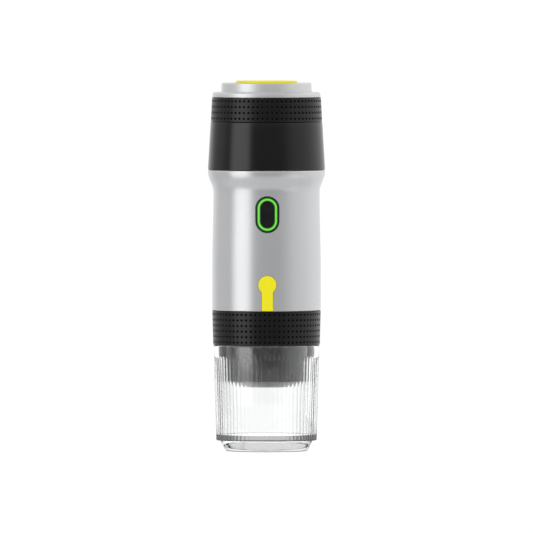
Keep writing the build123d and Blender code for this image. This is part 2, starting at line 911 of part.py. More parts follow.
def link_strips(level, first, second, grow=0.0):
    """At one end of the cells: a strip that joins two of them, and a tab on the third."""
    places = cell_places()
    (px, py), (qx, qy) = places[first], places[second]
    height = cell_link_thickness + 2 * grow
    width = cell_link_width + 2 * grow
    middle = level + cell_link_thickness / 2
    strip = Box(hypot(qx - px, qy - py) + width, width, height)
    turn = Rot(Z=degrees(atan2(qy - py, qx - px)))
    x, y = places[3 - first - second]
    tab = Pos(x, y, middle) * Box(width, width, height)
    return [Pos((px + qx) / 2, (py + qy) / 2, middle) * turn * strip, tab]


def cell_links():
    """Nickel strips welded to the cells' ends, so that the three work in a row."""
    return one(link_strips(cell_top, 0, 1) + link_strips(lower_deck_top, 1, 2))


def control_board():
    low, high = lower_deck_top, upper_deck_level
    place = Pos(0, (board_front + board_back) / 2, (low + high) / 2)
    return place * Box(board_width, board_thickness, high - low)


def board_parts():
    """Power transistors, a coil and sockets on the board's back, and the lamps behind the light ring."""
    thick = board_parts_depth - board_parts_margin
    flat = thick / 2
    step = transistor_width + lamp_width
    row = transistor_rise
    back_parts = [
        (-step, row, transistor_width, transistor_height, thick),
        (lamp_width / 2, row, transistor_width, transistor_height, thick),
        (step, row, board_socket_height, board_socket_width, thick),
        (-step, 2 * row, coil_side, coil_side, flat),
        (lamp_width, 2 * row, coil_side, coil_side, flat),
        (-board_width / 5, 3.3 * row, board_socket_width, board_socket_height, thick),
        (board_width / 5, 3.3 * row, board_socket_width, board_socket_height, thick),
    ]
    parts = []
    for x, rise, width, height, depth in back_parts:
        place = Pos(x, board_back + depth / 2, lower_deck_top + rise)
        parts.append(place * Box(width, depth, height))
    lamp_side = (button_width - 2 * button_bezel_width - button_ring_width) / 2
    for x in (-lamp_side, lamp_side):
        for rise in (-button_height / 4, 0, button_height / 4):
            place = Pos(x, board_front - lamp_depth / 2, button_level + rise)
            parts.append(place * Box(lamp_width, lamp_depth, lamp_height))
    return one(parts)


# Motor and pump


def motor_can():
    outline = [
        (motor_radius - motor_wall, motor_level + motor_rim_height),
        (motor_radius, motor_level + motor_rim_height),
        (motor_radius, motor_top - 0.8),
        (motor_radius - 0.8, motor_top),
        (motor_boss_radius, motor_top),
        (motor_boss_radius, motor_top + motor_boss_height),
        (shaft_radius + 0.05, motor_top + motor_boss_height),
        (shaft_radius + 0.05, motor_top - motor_wall),
        (motor_radius - motor_wall, motor_top - motor_wall),
    ]
    return Pos(0, pump_y) * turned(outline)


def motor_end_bell():
    rim = motor_level + motor_rim_height
    lip = rim + end_bell_lip
    outline = [
        (shaft_radius + 0.05, motor_level),
        (motor_radius, motor_level),
        (motor_radius, rim),
        (motor_radius - motor_wall - 0.1, rim),
        (motor_radius - motor_wall - 0.1, lip),
        (motor_boss_radius, lip),
        (motor_boss_radius, lip + end_bell_boss),
        (shaft_radius + 0.05, lip + end_bell_boss),
    ]
    return Pos(0, pump_y) * turned(outline)


def motor_magnets():
    """Two curved magnets glued inside the can."""
    outer = motor_radius - motor_wall
    low = motor_level + motor_rim_height + end_bell_lip + magnet_foot_gap
    high = motor_top - magnet_head_gap
    tube = ring(outer - magnet_thickness, outer - 0.02, low, high)
    gap = Pos(0, 0, (low + high) / 2) * Box(motor_radius, 4 * motor_radius, high - low + 2)
    return one([tube - gap], y=pump_y)


def motor_rotor():
    """Shaft, three-pole armature and commutator."""
    armature_radius = motor_radius - motor_wall - magnet_thickness - motor_air_gap
    shaft = rod(shaft_radius, cam_level + cam_height / 4, motor_top + motor_boss_height + 1.0)
    low, high = motor_level + 7.0, motor_top - 5.0
    armature = rod(armature_radius, low, high)
    slot = Pos(armature_radius * 0.75, 0, (low + high) / 2) * Box(armature_radius, 2.4, high - low + 1)
    hollow = rod(armature_radius * 0.3, low - 1, high + 1, armature_radius * 0.56)
    armature -= spaced(slot, 3) + spaced(hollow, 3)
    commutator = rod(armature_radius / 3, motor_level + 4.2, low)
    return Pos(0, pump_y) * (shaft + armature + commutator)


def pump_drive_cam():
    """The hub on the shaft's lower end, with the off-centre pin that rocks the swash plate."""
    hub = rod(cam_radius, cam_level, cam_level + cam_height)
    pin = rod(cam_pin_radius, cam_level - cam_pin_length, cam_level, cam_pin_radius)
    shaft_bore = rod(shaft_radius, cam_level + cam_height / 4, motor_level)
    return Pos(0, pump_y) * (hub + pin - shaft_bore)


def pump_body():
    """The pump's middle: a chamber for the swash plate, with three bores down to the membrane."""
    low, high = pump_body_level, motor_level
    cavity = pump_radius - pump_wall
    body = rod(pump_radius, low, high) - rod(cavity, low + pump_body_floor, high - 2.0)
    body -= rod(cam_radius + 0.8, high - 3.0, high + 1)
    body -= spaced(rod(swash_foot_radius + fit_gap, low - 1, high - 3.0, swash_foot_orbit), 3, 30)
    middle = (low + high) / 2
    flat = Pos(pump_radius + 3.0, 0, middle) * Box(8.0, 4 * pump_radius, high - low + 1)
    body -= spaced(flat, 3, 90)
    return Pos(0, pump_y) * body - pump_screw_holes()


def pump_swash_plate():
    """The plate that the cam rocks, with three feet that press the membrane in turn."""
    level = pump_body_level + pump_body_floor + 0.6
    reach = swash_foot_orbit + swash_foot_radius
    socket_radius = 2 * cam_pin_radius + 0.5
    plate = rod(socket_radius + 1.0, level, cam_level - 0.4)
    arm = Pos(reach / 2, 0, level + swash_thickness / 2) * Box(
        reach, 2 * swash_foot_radius, swash_thickness
    )
    foot = rod(swash_foot_radius, pump_body_level + 0.1, level + swash_thickness, swash_foot_orbit)
    plate += spaced(arm, 3, 30) + spaced(foot, 3, 30)
    return Pos(0, pump_y) * (plate - rod(socket_radius, cam_level - cam_pin_length - 0.4, cam_level))


def pump_membrane():
    low = pump_level + pump_cover_height
    disc = rod(pump_radius - 0.4, low, low + membrane_thickness, 0, pump_y)
    return disc - pump_screw_holes()


def pump_cover():
    """The valve cover at the pump's foot, with the two hose barbs."""
    cover = rod(pump_radius, pump_level, pump_level + pump_cover_height)
    half = pump_radius + barb_length
    along = Pos(0, 0, barb_level) * Rot(Y=90)
    cover += along * Cylinder(hose_bore - 0.1, 2 * half)
    bore = along * Cylinder(channel_radius, 2 * half + 1) - along * Cylinder(channel_radius, pump_radius)
    return Pos(0, pump_y) * (cover - bore) - pump_screw_holes()


def pump_screw_places():
    return [(x, y + pump_y) for x, y in circle_places(pump_radius - pump_screw_margin, 3, 90)]


def pump_screw_length():
    return pump_cover_height - screw_head_height + membrane_thickness + pump_body_floor - 0.6


def pump_screws():
    """Three long screws that hold the cover, membrane and body together."""
    level = pump_level + screw_head_height
    return one([screw(x, y, level, pump_screw_length()) for x, y in pump_screw_places()])


def pump_screw_holes():
    """The stepped holes that the pump's screws fill."""
    holes = []
    for x, y in pump_screw_places():
        level = pump_level + screw_head_height
        holes.append(rod(screw_radius, pump_level, level + pump_screw_length(), x, y))
        holes.append(rod(screw_head_radius, pump_level - 1, level, x, y))
    return holes


def pump_pad():
    return Pos(0, pump_y) * rod(pump_radius, lower_deck_top, pump_level)


def motor_grommet():
    """Soft cup between the motor's top and the upper deck."""
    outline = [
        (motor_radius + 0.05, motor_top - 4.0),
        (motor_radius + grommet_wall, motor_top - 4.0),
        (motor_radius + grommet_wall, upper_deck_level),
        (motor_boss_radius + 1.5, upper_deck_level),
        (motor_boss_radius + 1.5, motor_top + 0.05),
        (motor_radius + 0.05, motor_top + 0.05),
    ]
    return Pos(0, pump_y) * turned(outline)


def hose(points, bends):
    """A silicone hose along straight runs and the bends between them."""
    path = FilletPolyline(*points, radius=bends)
    start = Plane(path @ 0, z_dir=path % 0)
    return sweep(start * Circle(hose_radius), path) - sweep(start * Circle(hose_bore), path)


def tank_outlet_place():
    """The outlet stands on the tank floor's flat, beside the heater."""
    turn = radians(tank_outlet_angle)
    return tank_outlet_reach * cos(turn), tank_outlet_reach * sin(turn)


def suction_hose():
    """From the tank's outlet down the side of the motor and round into the pump's inlet."""
    x, y = tank_outlet_place()
    points = [
        (x, y, tank_floor_level - tank_outlet_nut - 0.3),
        (x, y, tank_outlet_bottom - hose_jog_bend / 2),
        (hose_x, pump_y, upper_deck_top + hose_jog_bend / 2),
        (hose_x, pump_y, barb_level),
        (pump_radius + 0.4, pump_y, barb_level),
    ]
    return hose(points, [hose_jog_bend, hose_jog_bend, hose_bend])


def delivery_hose():
    """From the pump's outlet down onto the brew group's barb."""
    points = [
        (-pump_radius - 0.4, pump_y, barb_level),
        (-hose_x, pump_y, barb_level),
        (-hose_x, pump_y, lower_deck_top + 0.1),
    ]
    return hose(points, [hose_bend])


# Water tank, heater and shroud


def shroud_base():
    """Plate in the body's top that carries heater and shroud, on bosses that stand on the upper deck."""
    low, top = base_plate_level, body_top
    plate = ring(heater_radius + 2.0, shoulder_radius - body_wall - 2 * run_gap, low, top)
    for x, y in base_screw_places():
        plate += rod(deck_post_radius, upper_deck_top, low, x, y)
        plate -= rod(screw_radius, upper_deck_top - 1, upper_deck_top + screw_length, x, y)
    for x, y in base_pin_places():
        plate += rod(deck_post_radius, upper_deck_top, low, x, y)
        plate += rod(pin_radius, upper_deck_level + 0.2, upper_deck_top, x, y)
    for x, y in shroud_screw_places():
        plate -= rod(screw_radius + fit_gap, low - 1, top + 1, x, y)
    for x, y in bracket_screw_places():
        plate -= rod(screw_radius, low - 1, top + 1, x, y)
    x, y = tank_outlet_place()
    return plate - rod(tank_outlet_radius + run_gap, low - 1, top + 1, x, y)


def tank_shroud():
    """Black cone that stands on the body, with the neck that the lid screws onto."""
    low, top = shroud_level, shroud_top
    bore = shroud_bore
    outline = [
        (shoulder_radius - shroud_wall, low),
        (shoulder_radius, low),
        (shroud_top_radius, top - 0.4),
        (shroud_top_radius - 0.4, top),
        (tank_mouth_radius, top),
        (tank_mouth_radius, tank_lip_level - edge_round),
        (tank_mouth_radius - edge_round, tank_lip_level),
        (bore, tank_lip_level),
        (bore, top - shroud_wall),
        (shroud_top_radius - shroud_wall, top - shroud_wall),
    ]
    shroud = turned(outline)
    inside = turned(
        [
            (bore, body_top),
            (shoulder_radius - shroud_wall / 2, body_top),
            (shroud_top_radius - shroud_wall / 2, top - shroud_wall / 2),
            (bore, top - shroud_wall / 2),
        ]
    )
    for x, y in shroud_screw_places():
        shroud += rod(shroud_boss_radius, body_top, top - shroud_wall, x, y) & inside
        shroud -= rod(screw_radius, body_top - 1, base_plate_level + screw_length + 0.5, x, y)
    return shroud


def water_tank():
    """Drawn stainless beaker, hung by its lip on the shroud's neck."""
    floor, inner = tank_floor_level, tank_radius - tank_wall
    outline = [
        (0, floor),
        (tank_radius - tank_corner, floor),
        (tank_radius - 0.3 * tank_corner, floor + 0.3 * tank_corner),
        (tank_radius, floor + tank_corner),
        (tank_radius, tank_lip_level),
        (tank_lip_radius, tank_lip_level),
        (tank_lip_radius, tank_lip_top),
        (inner, tank_lip_top),
        (inner, floor + tank_corner),
        (inner - 0.3 * tank_corner, floor + 0.3 * tank_corner + tank_wall),
        (inner - tank_corner, floor + tank_wall),
        (0, floor + tank_wall),
    ]
    x, y = tank_outlet_place()
    return turned(outline) - rod(hose_bore, floor - 1, floor + 2, x, y)


def tank_outlet():
    """Threaded outlet: flange inside the tank, nut below its floor, and a barb for the hose."""
    floor, inside = tank_floor_level, tank_floor_level + tank_wall
    fitting = rod(tank_outlet_radius, inside, inside + 1.0)
    fitting += rod(hose_bore - 0.1, tank_outlet_bottom, inside)
    nut = extrude(RegularPolygon(tank_outlet_radius, 6), tank_outlet_nut)
    fitting += Pos(0, 0, floor - tank_outlet_nut) * nut
    fitting -= rod(channel_radius, tank_outlet_bottom - 1, inside + 2)
    x, y = tank_outlet_place()
    return Pos(x, y) * fitting


def tank_strainer():
    """Perforated stainless disc over the outlet."""
    low = tank_floor_level + tank_wall + 1.0
    disc = rod(tank_outlet_radius, low, low + 0.5) - rod(0.5, low - 1, low + 1)
    disc -= spaced(rod(0.5, low - 1, low + 1, 0.6 * tank_outlet_radius), 6)
    x, y = tank_outlet_place()
    return Pos(x, y) * disc


def heater_plate():
    """Cast aluminium plate under the tank, with the heating tube's half-round ridge below it."""
    plate = rod(heater_radius, heater_level + heater_tube_radius, tank_floor_level)
    tube = Pos(0, 0, heater_level + heater_tube_radius) * Torus(
        heater_radius - 2 * heater_tube_radius, heater_tube_radius
    )
    return plate + tube


def heater_pad():
    return rod(heater_radius - 0.5, base_plate_level, heater_level)


def heater_bracket():
    """Steel ring with three arms, which presses pad and heater up against the tank."""
    low, high = heater_bracket_level, base_plate_level
    bracket = ring(heater_radius - 8.0, heater_radius - 1.0, low, high)
    arm_width = 2 * screw_head_radius + 1.8
    for x, y in bracket_screw_places():
        start, end = heater_radius - 4.0, hypot(x, y) + arm_width / 2
        arm = Pos((start + end) / 2, 0, (low + high) / 2) * Box(end - start, arm_width, high - low)
        bracket += Rot(Z=degrees(atan2(y, x))) * arm
        bracket -= rod(screw_radius + fit_gap, low - 1, high + 1, x, y)
    return bracket


def thermal_sensors():
    """A thermistor bead and a thermal cut-out, both held against the tank's floor."""
    reach = heater_radius + sensor_reach
    bead = Pos(0, reach, tank_floor_level - bead_height / 2) * Box(bead_width, bead_depth, bead_height)
    cutout = Cylinder(cutout_radius, cutout_length)
    cutout = Pos(-reach, 0, tank_floor_level - cutout_radius) * Rot(X=90) * cutout
    return one([bead, cutout])


# Lid


def lid_core():
    """The threaded inner lid that carries the grip band."""
    low, top = lid_level, lid_level + lid_band_height
    outline = [
        (lid_bore, low),
        (lid_core_radius, low),
        (lid_core_radius, top),
        (vent_radius, top),
        (vent_radius, lid_plate_level),
        (lid_bore, lid_plate_level),
    ]
    core = turned(outline)
    for x, y in lid_screw_places():
        core -= rod(screw_radius + fit_gap, lid_plate_level - 1, top + 1, x, y)
    return core


def lid_screw_places():
    return circle_places(lid_screw_circle, 3, 90)


def lid_seal():
    """The gasket that seals the lid against the tank's lip."""
    return ring(lid_seal_radius, tank_lip_radius, tank_lip_top + 0.05, lid_plate_level - 0.05)


def lid_liner():
    """The white plate that closes the lid's underside inside the seal."""
    radius = lid_seal_radius - run_gap
    low = lid_plate_level - lid_liner_thickness
    liner = turned(
        [
            (vent_radius, low),
            (radius - 0.6, low),
            (radius, low + 0.6),
            (radius, lid_plate_level),
            (vent_radius, lid_plate_level),
        ]
    )
    for x, y in lid_screw_places():
        pocket = lid_plate_level - screw_head_height
        liner -= rod(screw_head_radius + fit_gap, pocket, lid_plate_level + 1, x, y)
    return liner


def lid_grip_band():
    high, inner = lid_level + lid_band_height, lid_core_radius + grip_fit
    return grip_band(lid_level, high, lid_band_bottom_radius, lid_band_top_radius, inner)


def lid_cap():
    """The silver stepped cap, hollow below, with a shallow seat for the inlay."""
    low, step, top = cap_level, cap_rim_top, cap_top
    seat = top - (inlay_thickness - inlay_proud)
    outline = [
        (cap_rim_radius - cap_wall - 1.6, low - line_gap),
        (cap_rim_radius - cap_wall - 0.1, low - line_gap),
        (cap_rim_radius - cap_wall - 0.1, low),
        (cap_rim_radius, low),
        (cap_rim_radius, step - 0.9),
        (cap_rim_radius - 0.9, step),
        (cap_disc_radius, step),
        (cap_disc_radius, top - 0.7),
        (cap_disc_radius - 0.7, top),
        (inlay_radius + 0.1, top),
        (inlay_radius + 0.1, seat),
        (0, seat),
        (0, seat - cap_wall),
        (cap_disc_radius - cap_wall, seat - cap_wall),
        (cap_disc_radius - cap_wall, step - cap_wall),
        (cap_rim_radius - cap_wall - 1.6, step - cap_wall),
    ]
    cap = turned(outline)
    for x, y in lid_screw_places():
        cap += rod(screw_head_radius, lid_level + lid_band_height, seat - cap_wall, x, y)
        cap -= rod(screw_radius, low - 2, lid_plate_level + screw_length + 0.5, x, y)
    return cap


def lid_screws():
    return one([screw(x, y, lid_plate_level) for x, y in lid_screw_places()])


def lid_vent():
    """Silicone vent that lets air in as the pump draws water."""
    low = lid_plate_level - lid_liner_thickness
    top = lid_level + lid_band_height
    outline = [
        (0.5, low - 0.8),
        (vent_radius + 1.2, low - 0.8),
        (vent_radius + 1.2, low),
        (vent_radius - 0.1, low),
        (vent_radius - 0.1, top),
        (vent_radius + 1.2, top),
        (vent_radius + 0.4, top + 0.9),
        (0.5, top + 0.9),
    ]
    return turned(outline)


def lid_inlay():
    """The yellow disc in the middle of the cap."""
    low, top = inlay_top - inlay_thickness, inlay_top
    return turned(
        [(0, low), (inlay_radius, low), (inlay_radius, top - 0.5), (inlay_radius - 0.5, top), (0, top)]
    )


all_pieces = [
    cup,
    brew_collar,
    brew_grip_band,
    capsule_holder,
    capsule_piercer,
    spout_cover,
    spout_insert,
    spout_seal,
    brew_seal,
    brew_group,
    shower_plate,
    main_shell,
    button_bezel,
    button_light_ring,
    button_key,
    tact_switch,
    switch_plunger,
    port_tray,
    charge_port,
    port_plug,
    port_plug_anchor,
    lower_deck,
    upper_deck,
    body_screws,
    battery_cells,
    cell_links,
    control_board,
    board_parts,
    motor_can,
    motor_end_bell,
    motor_magnets,
    motor_rotor,
    motor_grommet,
    pump_drive_cam,
    pump_body,
    pump_swash_plate,
    pump_membrane,
    pump_cover,
    pump_screws,
    pump_pad,
    suction_hose,
    delivery_hose,
    shroud_base,
    tank_shroud,
    water_tank,
    tank_outlet,
    tank_strainer,
    heater_plate,
    heater_pad,
    heater_bracket,
    thermal_sensors,
    lid_core,
    lid_seal,
    lid_liner,
    lid_grip_band,
    lid_cap,
    lid_screws,
    lid_vent,
    lid_inlay,
]

os.makedirs("parts", exist_ok=True)
for piece in all_pieces:
    export_step(piece(), f"parts/{piece.__name__}.step")
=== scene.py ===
import json
from math import atan2, cos, hypot, pi, radians, sin, sqrt, tan, tau

import bmesh
import bpy
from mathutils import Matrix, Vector


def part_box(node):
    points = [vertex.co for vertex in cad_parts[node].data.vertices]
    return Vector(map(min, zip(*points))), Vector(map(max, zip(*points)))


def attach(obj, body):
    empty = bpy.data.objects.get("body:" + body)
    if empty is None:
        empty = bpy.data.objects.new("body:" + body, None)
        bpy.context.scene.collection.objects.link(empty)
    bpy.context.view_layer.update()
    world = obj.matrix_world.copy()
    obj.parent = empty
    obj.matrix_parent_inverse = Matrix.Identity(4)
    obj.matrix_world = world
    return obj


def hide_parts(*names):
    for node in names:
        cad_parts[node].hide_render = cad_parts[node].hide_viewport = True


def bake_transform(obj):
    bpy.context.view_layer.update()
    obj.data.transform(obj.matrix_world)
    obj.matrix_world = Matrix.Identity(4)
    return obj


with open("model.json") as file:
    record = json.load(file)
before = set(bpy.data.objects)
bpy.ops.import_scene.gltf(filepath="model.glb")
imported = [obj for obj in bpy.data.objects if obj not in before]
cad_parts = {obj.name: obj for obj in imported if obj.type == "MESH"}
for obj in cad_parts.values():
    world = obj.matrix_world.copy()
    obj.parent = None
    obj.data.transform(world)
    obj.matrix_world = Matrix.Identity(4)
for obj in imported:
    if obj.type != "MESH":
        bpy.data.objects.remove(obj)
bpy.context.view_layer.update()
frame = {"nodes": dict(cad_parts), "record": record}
cad = frame["nodes"]
mm = 0.001


# View: at the button's side, from far off through a long lens and a little from above, so that
# upright edges stay upright and the rims bend only a little.
view_width = 327.2 * mm
view_level = 113.2 * mm
view_distance = 10.0


def placed(name, data):
    """A new object in the scene, with this data."""
    thing = bpy.data.objects.new(name, data)
    bpy.context.scene.collection.objects.link(thing)
    return thing


def aimed(thing, azimuth, elevation, distance):
    """Stands a camera or a lamp off and turns it to the middle; azimuth 0 is the button's side."""
    turn, rise = radians(azimuth), radians(elevation)
    way = Vector((sin(turn) * cos(rise), -cos(turn) * cos(rise), sin(rise)))
    thing.location = Vector((0, 0, view_level)) + way * distance
    thing.rotation_euler = way.to_track_quat("Z", "Y").to_euler()


camera = placed("camera", bpy.data.cameras.new("camera"))
aimed(camera, -0.95, 1.4, view_distance)
bpy.context.scene.camera = camera
camera.data.sensor_width = 36.0
camera.data.lens = camera.data.sensor_width * view_distance / view_width
camera.data.clip_end = 60.0


# Cup: one clear copolyester moulding with seventy upright scallops outside, a thick floor and a
# drawn-in foot. It is built as one scallop's slice of the wall and repeated round the axis.
class Shade:
    """A shader socket that Python sums can be written with; each sum adds its Math node."""

    def __init__(self, finish, socket):
        self.finish, self.socket = finish, socket

    def maths(self, operation, *terms):
        return self.finish.node("Math", {"operation": operation}, *terms)

    def __add__(self, other):
        return self.maths("ADD", self, other)

    def __sub__(self, other):
        return self.maths("SUBTRACT", self, other)

    def __rsub__(self, other):
        return self.maths("SUBTRACT", other, self)

    def __mul__(self, other):
        return self.maths("MULTIPLY", self, other)

    __radd__, __rmul__ = __add__, __mul__

    def between(self, low, high):
        """Zero below low, one above high, and a soft step between them."""
        settings = {"interpolation_type": "SMOOTHSTEP"}
        return self.finish.node("MapRange", settings, self, low, high)

    def past(self, low, high):
        """The same soft step, between lengths in millimetres."""
        return self.between(low * mm, high * mm)


class Finish:
    """A material, made node by node."""

    store, ending = "materials", "ShaderNodeOutputMaterial"

    def __init__(self, name):
        self.material = getattr(bpy.data, self.store).new(name)
        self.material.use_nodes = True
        self.tree = self.material.node_tree
        self.tree.nodes.clear()

    def feed(self, socket, value):
        """Links a shade to a socket, or sets the socket to a constant."""
        if isinstance(value, Shade):
            self.tree.links.new(value.socket, socket)
        else:
            socket.default_value = value

    def node(self, kind, settings, *numbered, out=0, **named):
        """A new node's output; settings are its own, and the rest go to its sockets."""
        node = self.tree.nodes.new("ShaderNode" + kind)
        for name, value in settings.items():
            setattr(node, name, value)
        for socket, value in zip(node.inputs, numbered):
            self.feed(socket, value)
        for name, value in named.items():
            self.feed(node.inputs[name.replace("_", " ")], value)
        return Shade(self, node.outputs[out])

    def grain(self, size, stretch=(1, 1, 1), detail=2.0):
        """Noise with grains of about this size, in millimetres, longer along the stretched axes."""
        place = self.node("TexCoord", {}, out="Object")
        scale = [1 / (size * mm * s) for s in stretch]
        place = self.node("VectorMath", {"operation": "MULTIPLY"}, place, scale)
        return self.node("TexNoise", {}, Vector=place, Scale=1.0, Detail=detail)

    def mix(self, share, first, second):
        """One colour over another."""
        node = self.tree.nodes.new("ShaderNodeMix")
        node.data_type = "RGBA"
        for place, value in ((0, share), (6, first), (7, second)):
            self.feed(node.inputs[place], value)
        return Shade(self, node.outputs[2])

    def bump(self, height, depth):
        """A normal from a height of nought to one, for relief of this depth in millimetres."""
        return self.node("Bump", {}, Strength=1.0, Distance=depth * mm, Height=height)

    def surface(self, **sockets):
        """The material with one Principled surface, with these values in its sockets."""
        return self.done(self.node("BsdfPrincipled", {}, **sockets))

    def done(self, surface):
        output = self.tree.nodes.new(self.ending)
        self.tree.links.new(surface.socket, output.inputs["Surface"])
        return self.material


def clear_plastic():
    """Clear copolyester with painted shade: darker ribs, floor, foot and edges stand for dark
    surroundings bent into view.
    """
    finish = Finish("clear_plastic")
    flow = finish.grain(9.0, (1, 1, 2.5))
    place = finish.node("TexCoord", {}, out="Object")
    x, y, level = (finish.node("SeparateXYZ", {}, place, out=axis) for axis in "XYZ")
    reach = finish.node("VectorMath", {"operation": "LENGTH"}, place, out="Value")
    solid = level.past(cup_ledge - 0.2, cup_ledge + 0.2) - level.past(cup_floor, cup_floor + 0.4)
    solid = solid * reach.past(cup_low_radius - 1.3, cup_low_radius - 0.3)
    clear = finish.node(
        "BsdfPrincipled",
        {},
        Base_Color=(0.985, 0.99, 0.99, 1),
        Roughness=finish.grain(3.0).between(0.3, 0.9) * 0.02 + 0.005,
        IOR=1.5,
        Transmission_Weight=1.0,
        Normal=finish.bump(flow, 0.004),
    )
    # Painted shade: a dark grey surface, darker still over the thick floor, mixed into the clear
    # one.
    shade = finish.mix(solid, (0.22, 0.23, 0.24, 1), (0.06, 0.062, 0.065, 1))
    painted_shade_surface = finish.node("BsdfPrincipled", {}, Base_Color=shade, Roughness=0.3)
    facing = finish.node("LayerWeight", {}, Blend=0.5, out="Facing")
    # Painted shade at grazing edges, along the foot's bottom edge and along each rib, where a real
    # cup bends dark surroundings into view.
    edge = facing.between(0.5, 1.0) * 0.04 * (1 - solid)
    painted_foot_shade = (1 - level.past(0.2, 0.9)) * reach.past(recess_radius - 0.5, recess_radius) * 0.65
    painted_rib_shade = x.maths("COSINE", x.maths("ARCTAN2", y, x) * cup_flutes)
    painted_rib_shade = (0 - painted_rib_shade).between(0.75, 0.98)
    painted_rib_shade = painted_rib_shade * level.past(cup_ledge + 0.4, cup_ledge + 0.8)
    painted_rib_shade = painted_rib_shade * (1 - level.past(flutes_end - 1, flutes_end))
    across = x.maths("SQRT", x * x + y * y) - level * cup_taper
    painted_rib_shade = painted_rib_shade * across.past(wall_middle - 0.2, wall_middle + 0.2)
    painted_rib_shade = painted_rib_shade * facing.between(0.05, 0.3) * 0.62
    # How much painted shade: edges, foot and ribs, and a grey ring over the thick floor.
    share = edge + painted_foot_shade + painted_rib_shade + (facing.between(0.1, 0.32) * 0.47 + 0.28) * solid
    return finish.done(finish.node("MixShader", {}, share, clear, painted_shade_surface))


def repeat_round(name, mesh, count, material):
    """Copies of one slice, side by side round the axis, joined into one plain mesh."""
    tree = bpy.data.node_groups.new("slices round an axis", "GeometryNodeTree")

    def panel(label, kind, way="INPUT"):
        return tree.interface.new_socket(label, in_out=way, socket_type="NodeSocket" + kind)

    panel("Geometry", "Geometry")
    panel("Geometry", "Geometry", "OUTPUT")
    number_in, finish_in = panel("Count", "Int"), panel("Finish", "Material")

    def node(kind, **settings):
        made = tree.nodes.new(kind)
        for key, value in settings.items():
            setattr(made, key, value)
        return made

    def link(source, target, socket=0, out=0):
        tree.links.new(source.outputs[out], target.inputs[socket])

    entry, leave = node("NodeGroupInput"), node("NodeGroupOutput")
    points = node("GeometryNodePoints")
    place = node("GeometryNodeInstanceOnPoints")
    number = node("GeometryNodeInputIndex")
    step = node("ShaderNodeMath", operation="DIVIDE")
    turn = node("ShaderNodeMath", operation="MULTIPLY")
    angles = node("ShaderNodeCombineXYZ")
    real = node("GeometryNodeRealizeInstances")
    weld = node("GeometryNodeMergeByDistance")
    paint = node("GeometryNodeSetMaterial")
    turn.inputs[1].default_value = tau
    weld.inputs["Distance"].default_value = 0.002 * mm
    link(entry, points, "Count", "Count")
    link(number, step)
    link(entry, step, 1, "Count")
    link(step, turn)
    link(turn, angles, "Z")
    link(points, place, "Points")
    link(entry, place, "Instance", "Geometry")
    link(angles, place, "Rotation")
    link(place, real)
    link(real, weld)
    link(weld, paint)
    link(entry, paint, "Material", "Finish")
    link(paint, leave)

    slice_ = placed(name + "_slice", mesh)
    modifier = slice_.modifiers.new("slices", "NODES")
    modifier.node_group = tree
    modifier[number_in.identifier] = count
    modifier[finish_in.identifier] = material
    return settled(name, slice_, material)


def outward(mesh):
    """Turns a closed mesh's faces so that they point out of it."""
    shape = bmesh.new()
    shape.from_mesh(mesh)
    if shape.calc_volume(signed=True) < 0:
        bmesh.ops.reverse_faces(shape, faces=shape.faces)
    shape.to_mesh(mesh)
    shape.free()


def settled(name, draft, material, cutters=()):
    """The draft less its cutters, as a plain mesh object with smooth faces and crisp edges."""
    for cutter in cutters:
        window = draft.modifiers.new(cutter.name, "BOOLEAN")
        window.operation = "DIFFERENCE"
        window.solver = "EXACT"
        window.object = cutter
    graph = bpy.context.evaluated_depsgraph_get()
    graph.update()
    mesh = bpy.data.meshes.new_from_object(draft.evaluated_get(graph))
    for spare in (draft, *cutters):
        bpy.data.objects.remove(spare)
    outward(mesh)
    mesh.name = name
    mesh.materials.clear()
    mesh.materials.append(material)
    mesh.shade_smooth()
    mesh.set_sharp_from_angle(angle=radians(32))
    return placed(name, mesh)


def mesh_of(name, shape):
    """A mesh of this shape, which is let go."""
    mesh = bpy.data.meshes.new(name)
    shape.to_mesh(mesh)
    shape.free()
    return mesh


def grid_mesh(name, rows, closed):
    """A skin over rows of points; a closed one joins the last row to the first."""
    shape = bmesh.new()
    rings = [[shape.verts.new(point) for point in row] for row in rows]
    pairs = list(zip(rings, rings[1:]))
    if closed:
        pairs.append((rings[-1], rings[0]))
    for low, high in pairs:
        for i in range(len(low) - 1):
            shape.faces.new([low[i], low[i + 1], high[i + 1], high[i]])
    bmesh.ops.remove_doubles(shape, verts=shape.verts, dist=0.001 * mm)
    bmesh.ops.dissolve_degenerate(shape, edges=shape.edges, dist=0.0005 * mm)
    mesh = mesh_of(name, shape)
    if closed:
        outward(mesh)
    return mesh


def rounded(corners, steps=4):
    """A line of (radius, level) points from (radius, level, rounding) corners."""
    points = []
    for i, (r, z, cut) in enumerate(corners):
        here = Vector((r, z))
        if cut == 0 or i in (0, len(corners) - 1):
            points.append(here)
            continue
        before = Vector(corners[i - 1][:2]) - here
        after = Vector(corners[i + 1][:2]) - here
        start = here + before.normalized() * cut
        end = here + after.normalized() * cut
        for k in range(steps + 1):
            t = k / steps
            points.append(start * (1 - t) ** 2 + here * 2 * t * (1 - t) + end * t**2)
    return points


def heights(node):
    """A CAD node's lowest and highest level, in millimetres."""
    return [corner.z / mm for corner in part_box(node)]


cup_flutes = 70
flute_columns = 12
flute_radius, flute_depth = 3.1, 0.2
cup_top = heights("cup")[1]
cup_ledge, cup_floor, cup_wall = 6.6, 10.0, 2.6
cup_low_radius, cup_rim_radius = 30.8, 32.5
cup_taper = (cup_rim_radius - cup_low_radius) / (cup_top - cup_ledge)
wall_middle = cup_low_radius - 1.6
foot_recess, recess_radius, foot_inside, foot_outside = 1.0, 23.0, 23.7, 24.6
flute_fade = 1.2
flutes_end = cup_top - 7.0


def cup_radius(level):
    """The cup's outside radius at a level, on its ribs."""
    return cup_low_radius + cup_taper * (level - cup_ledge)


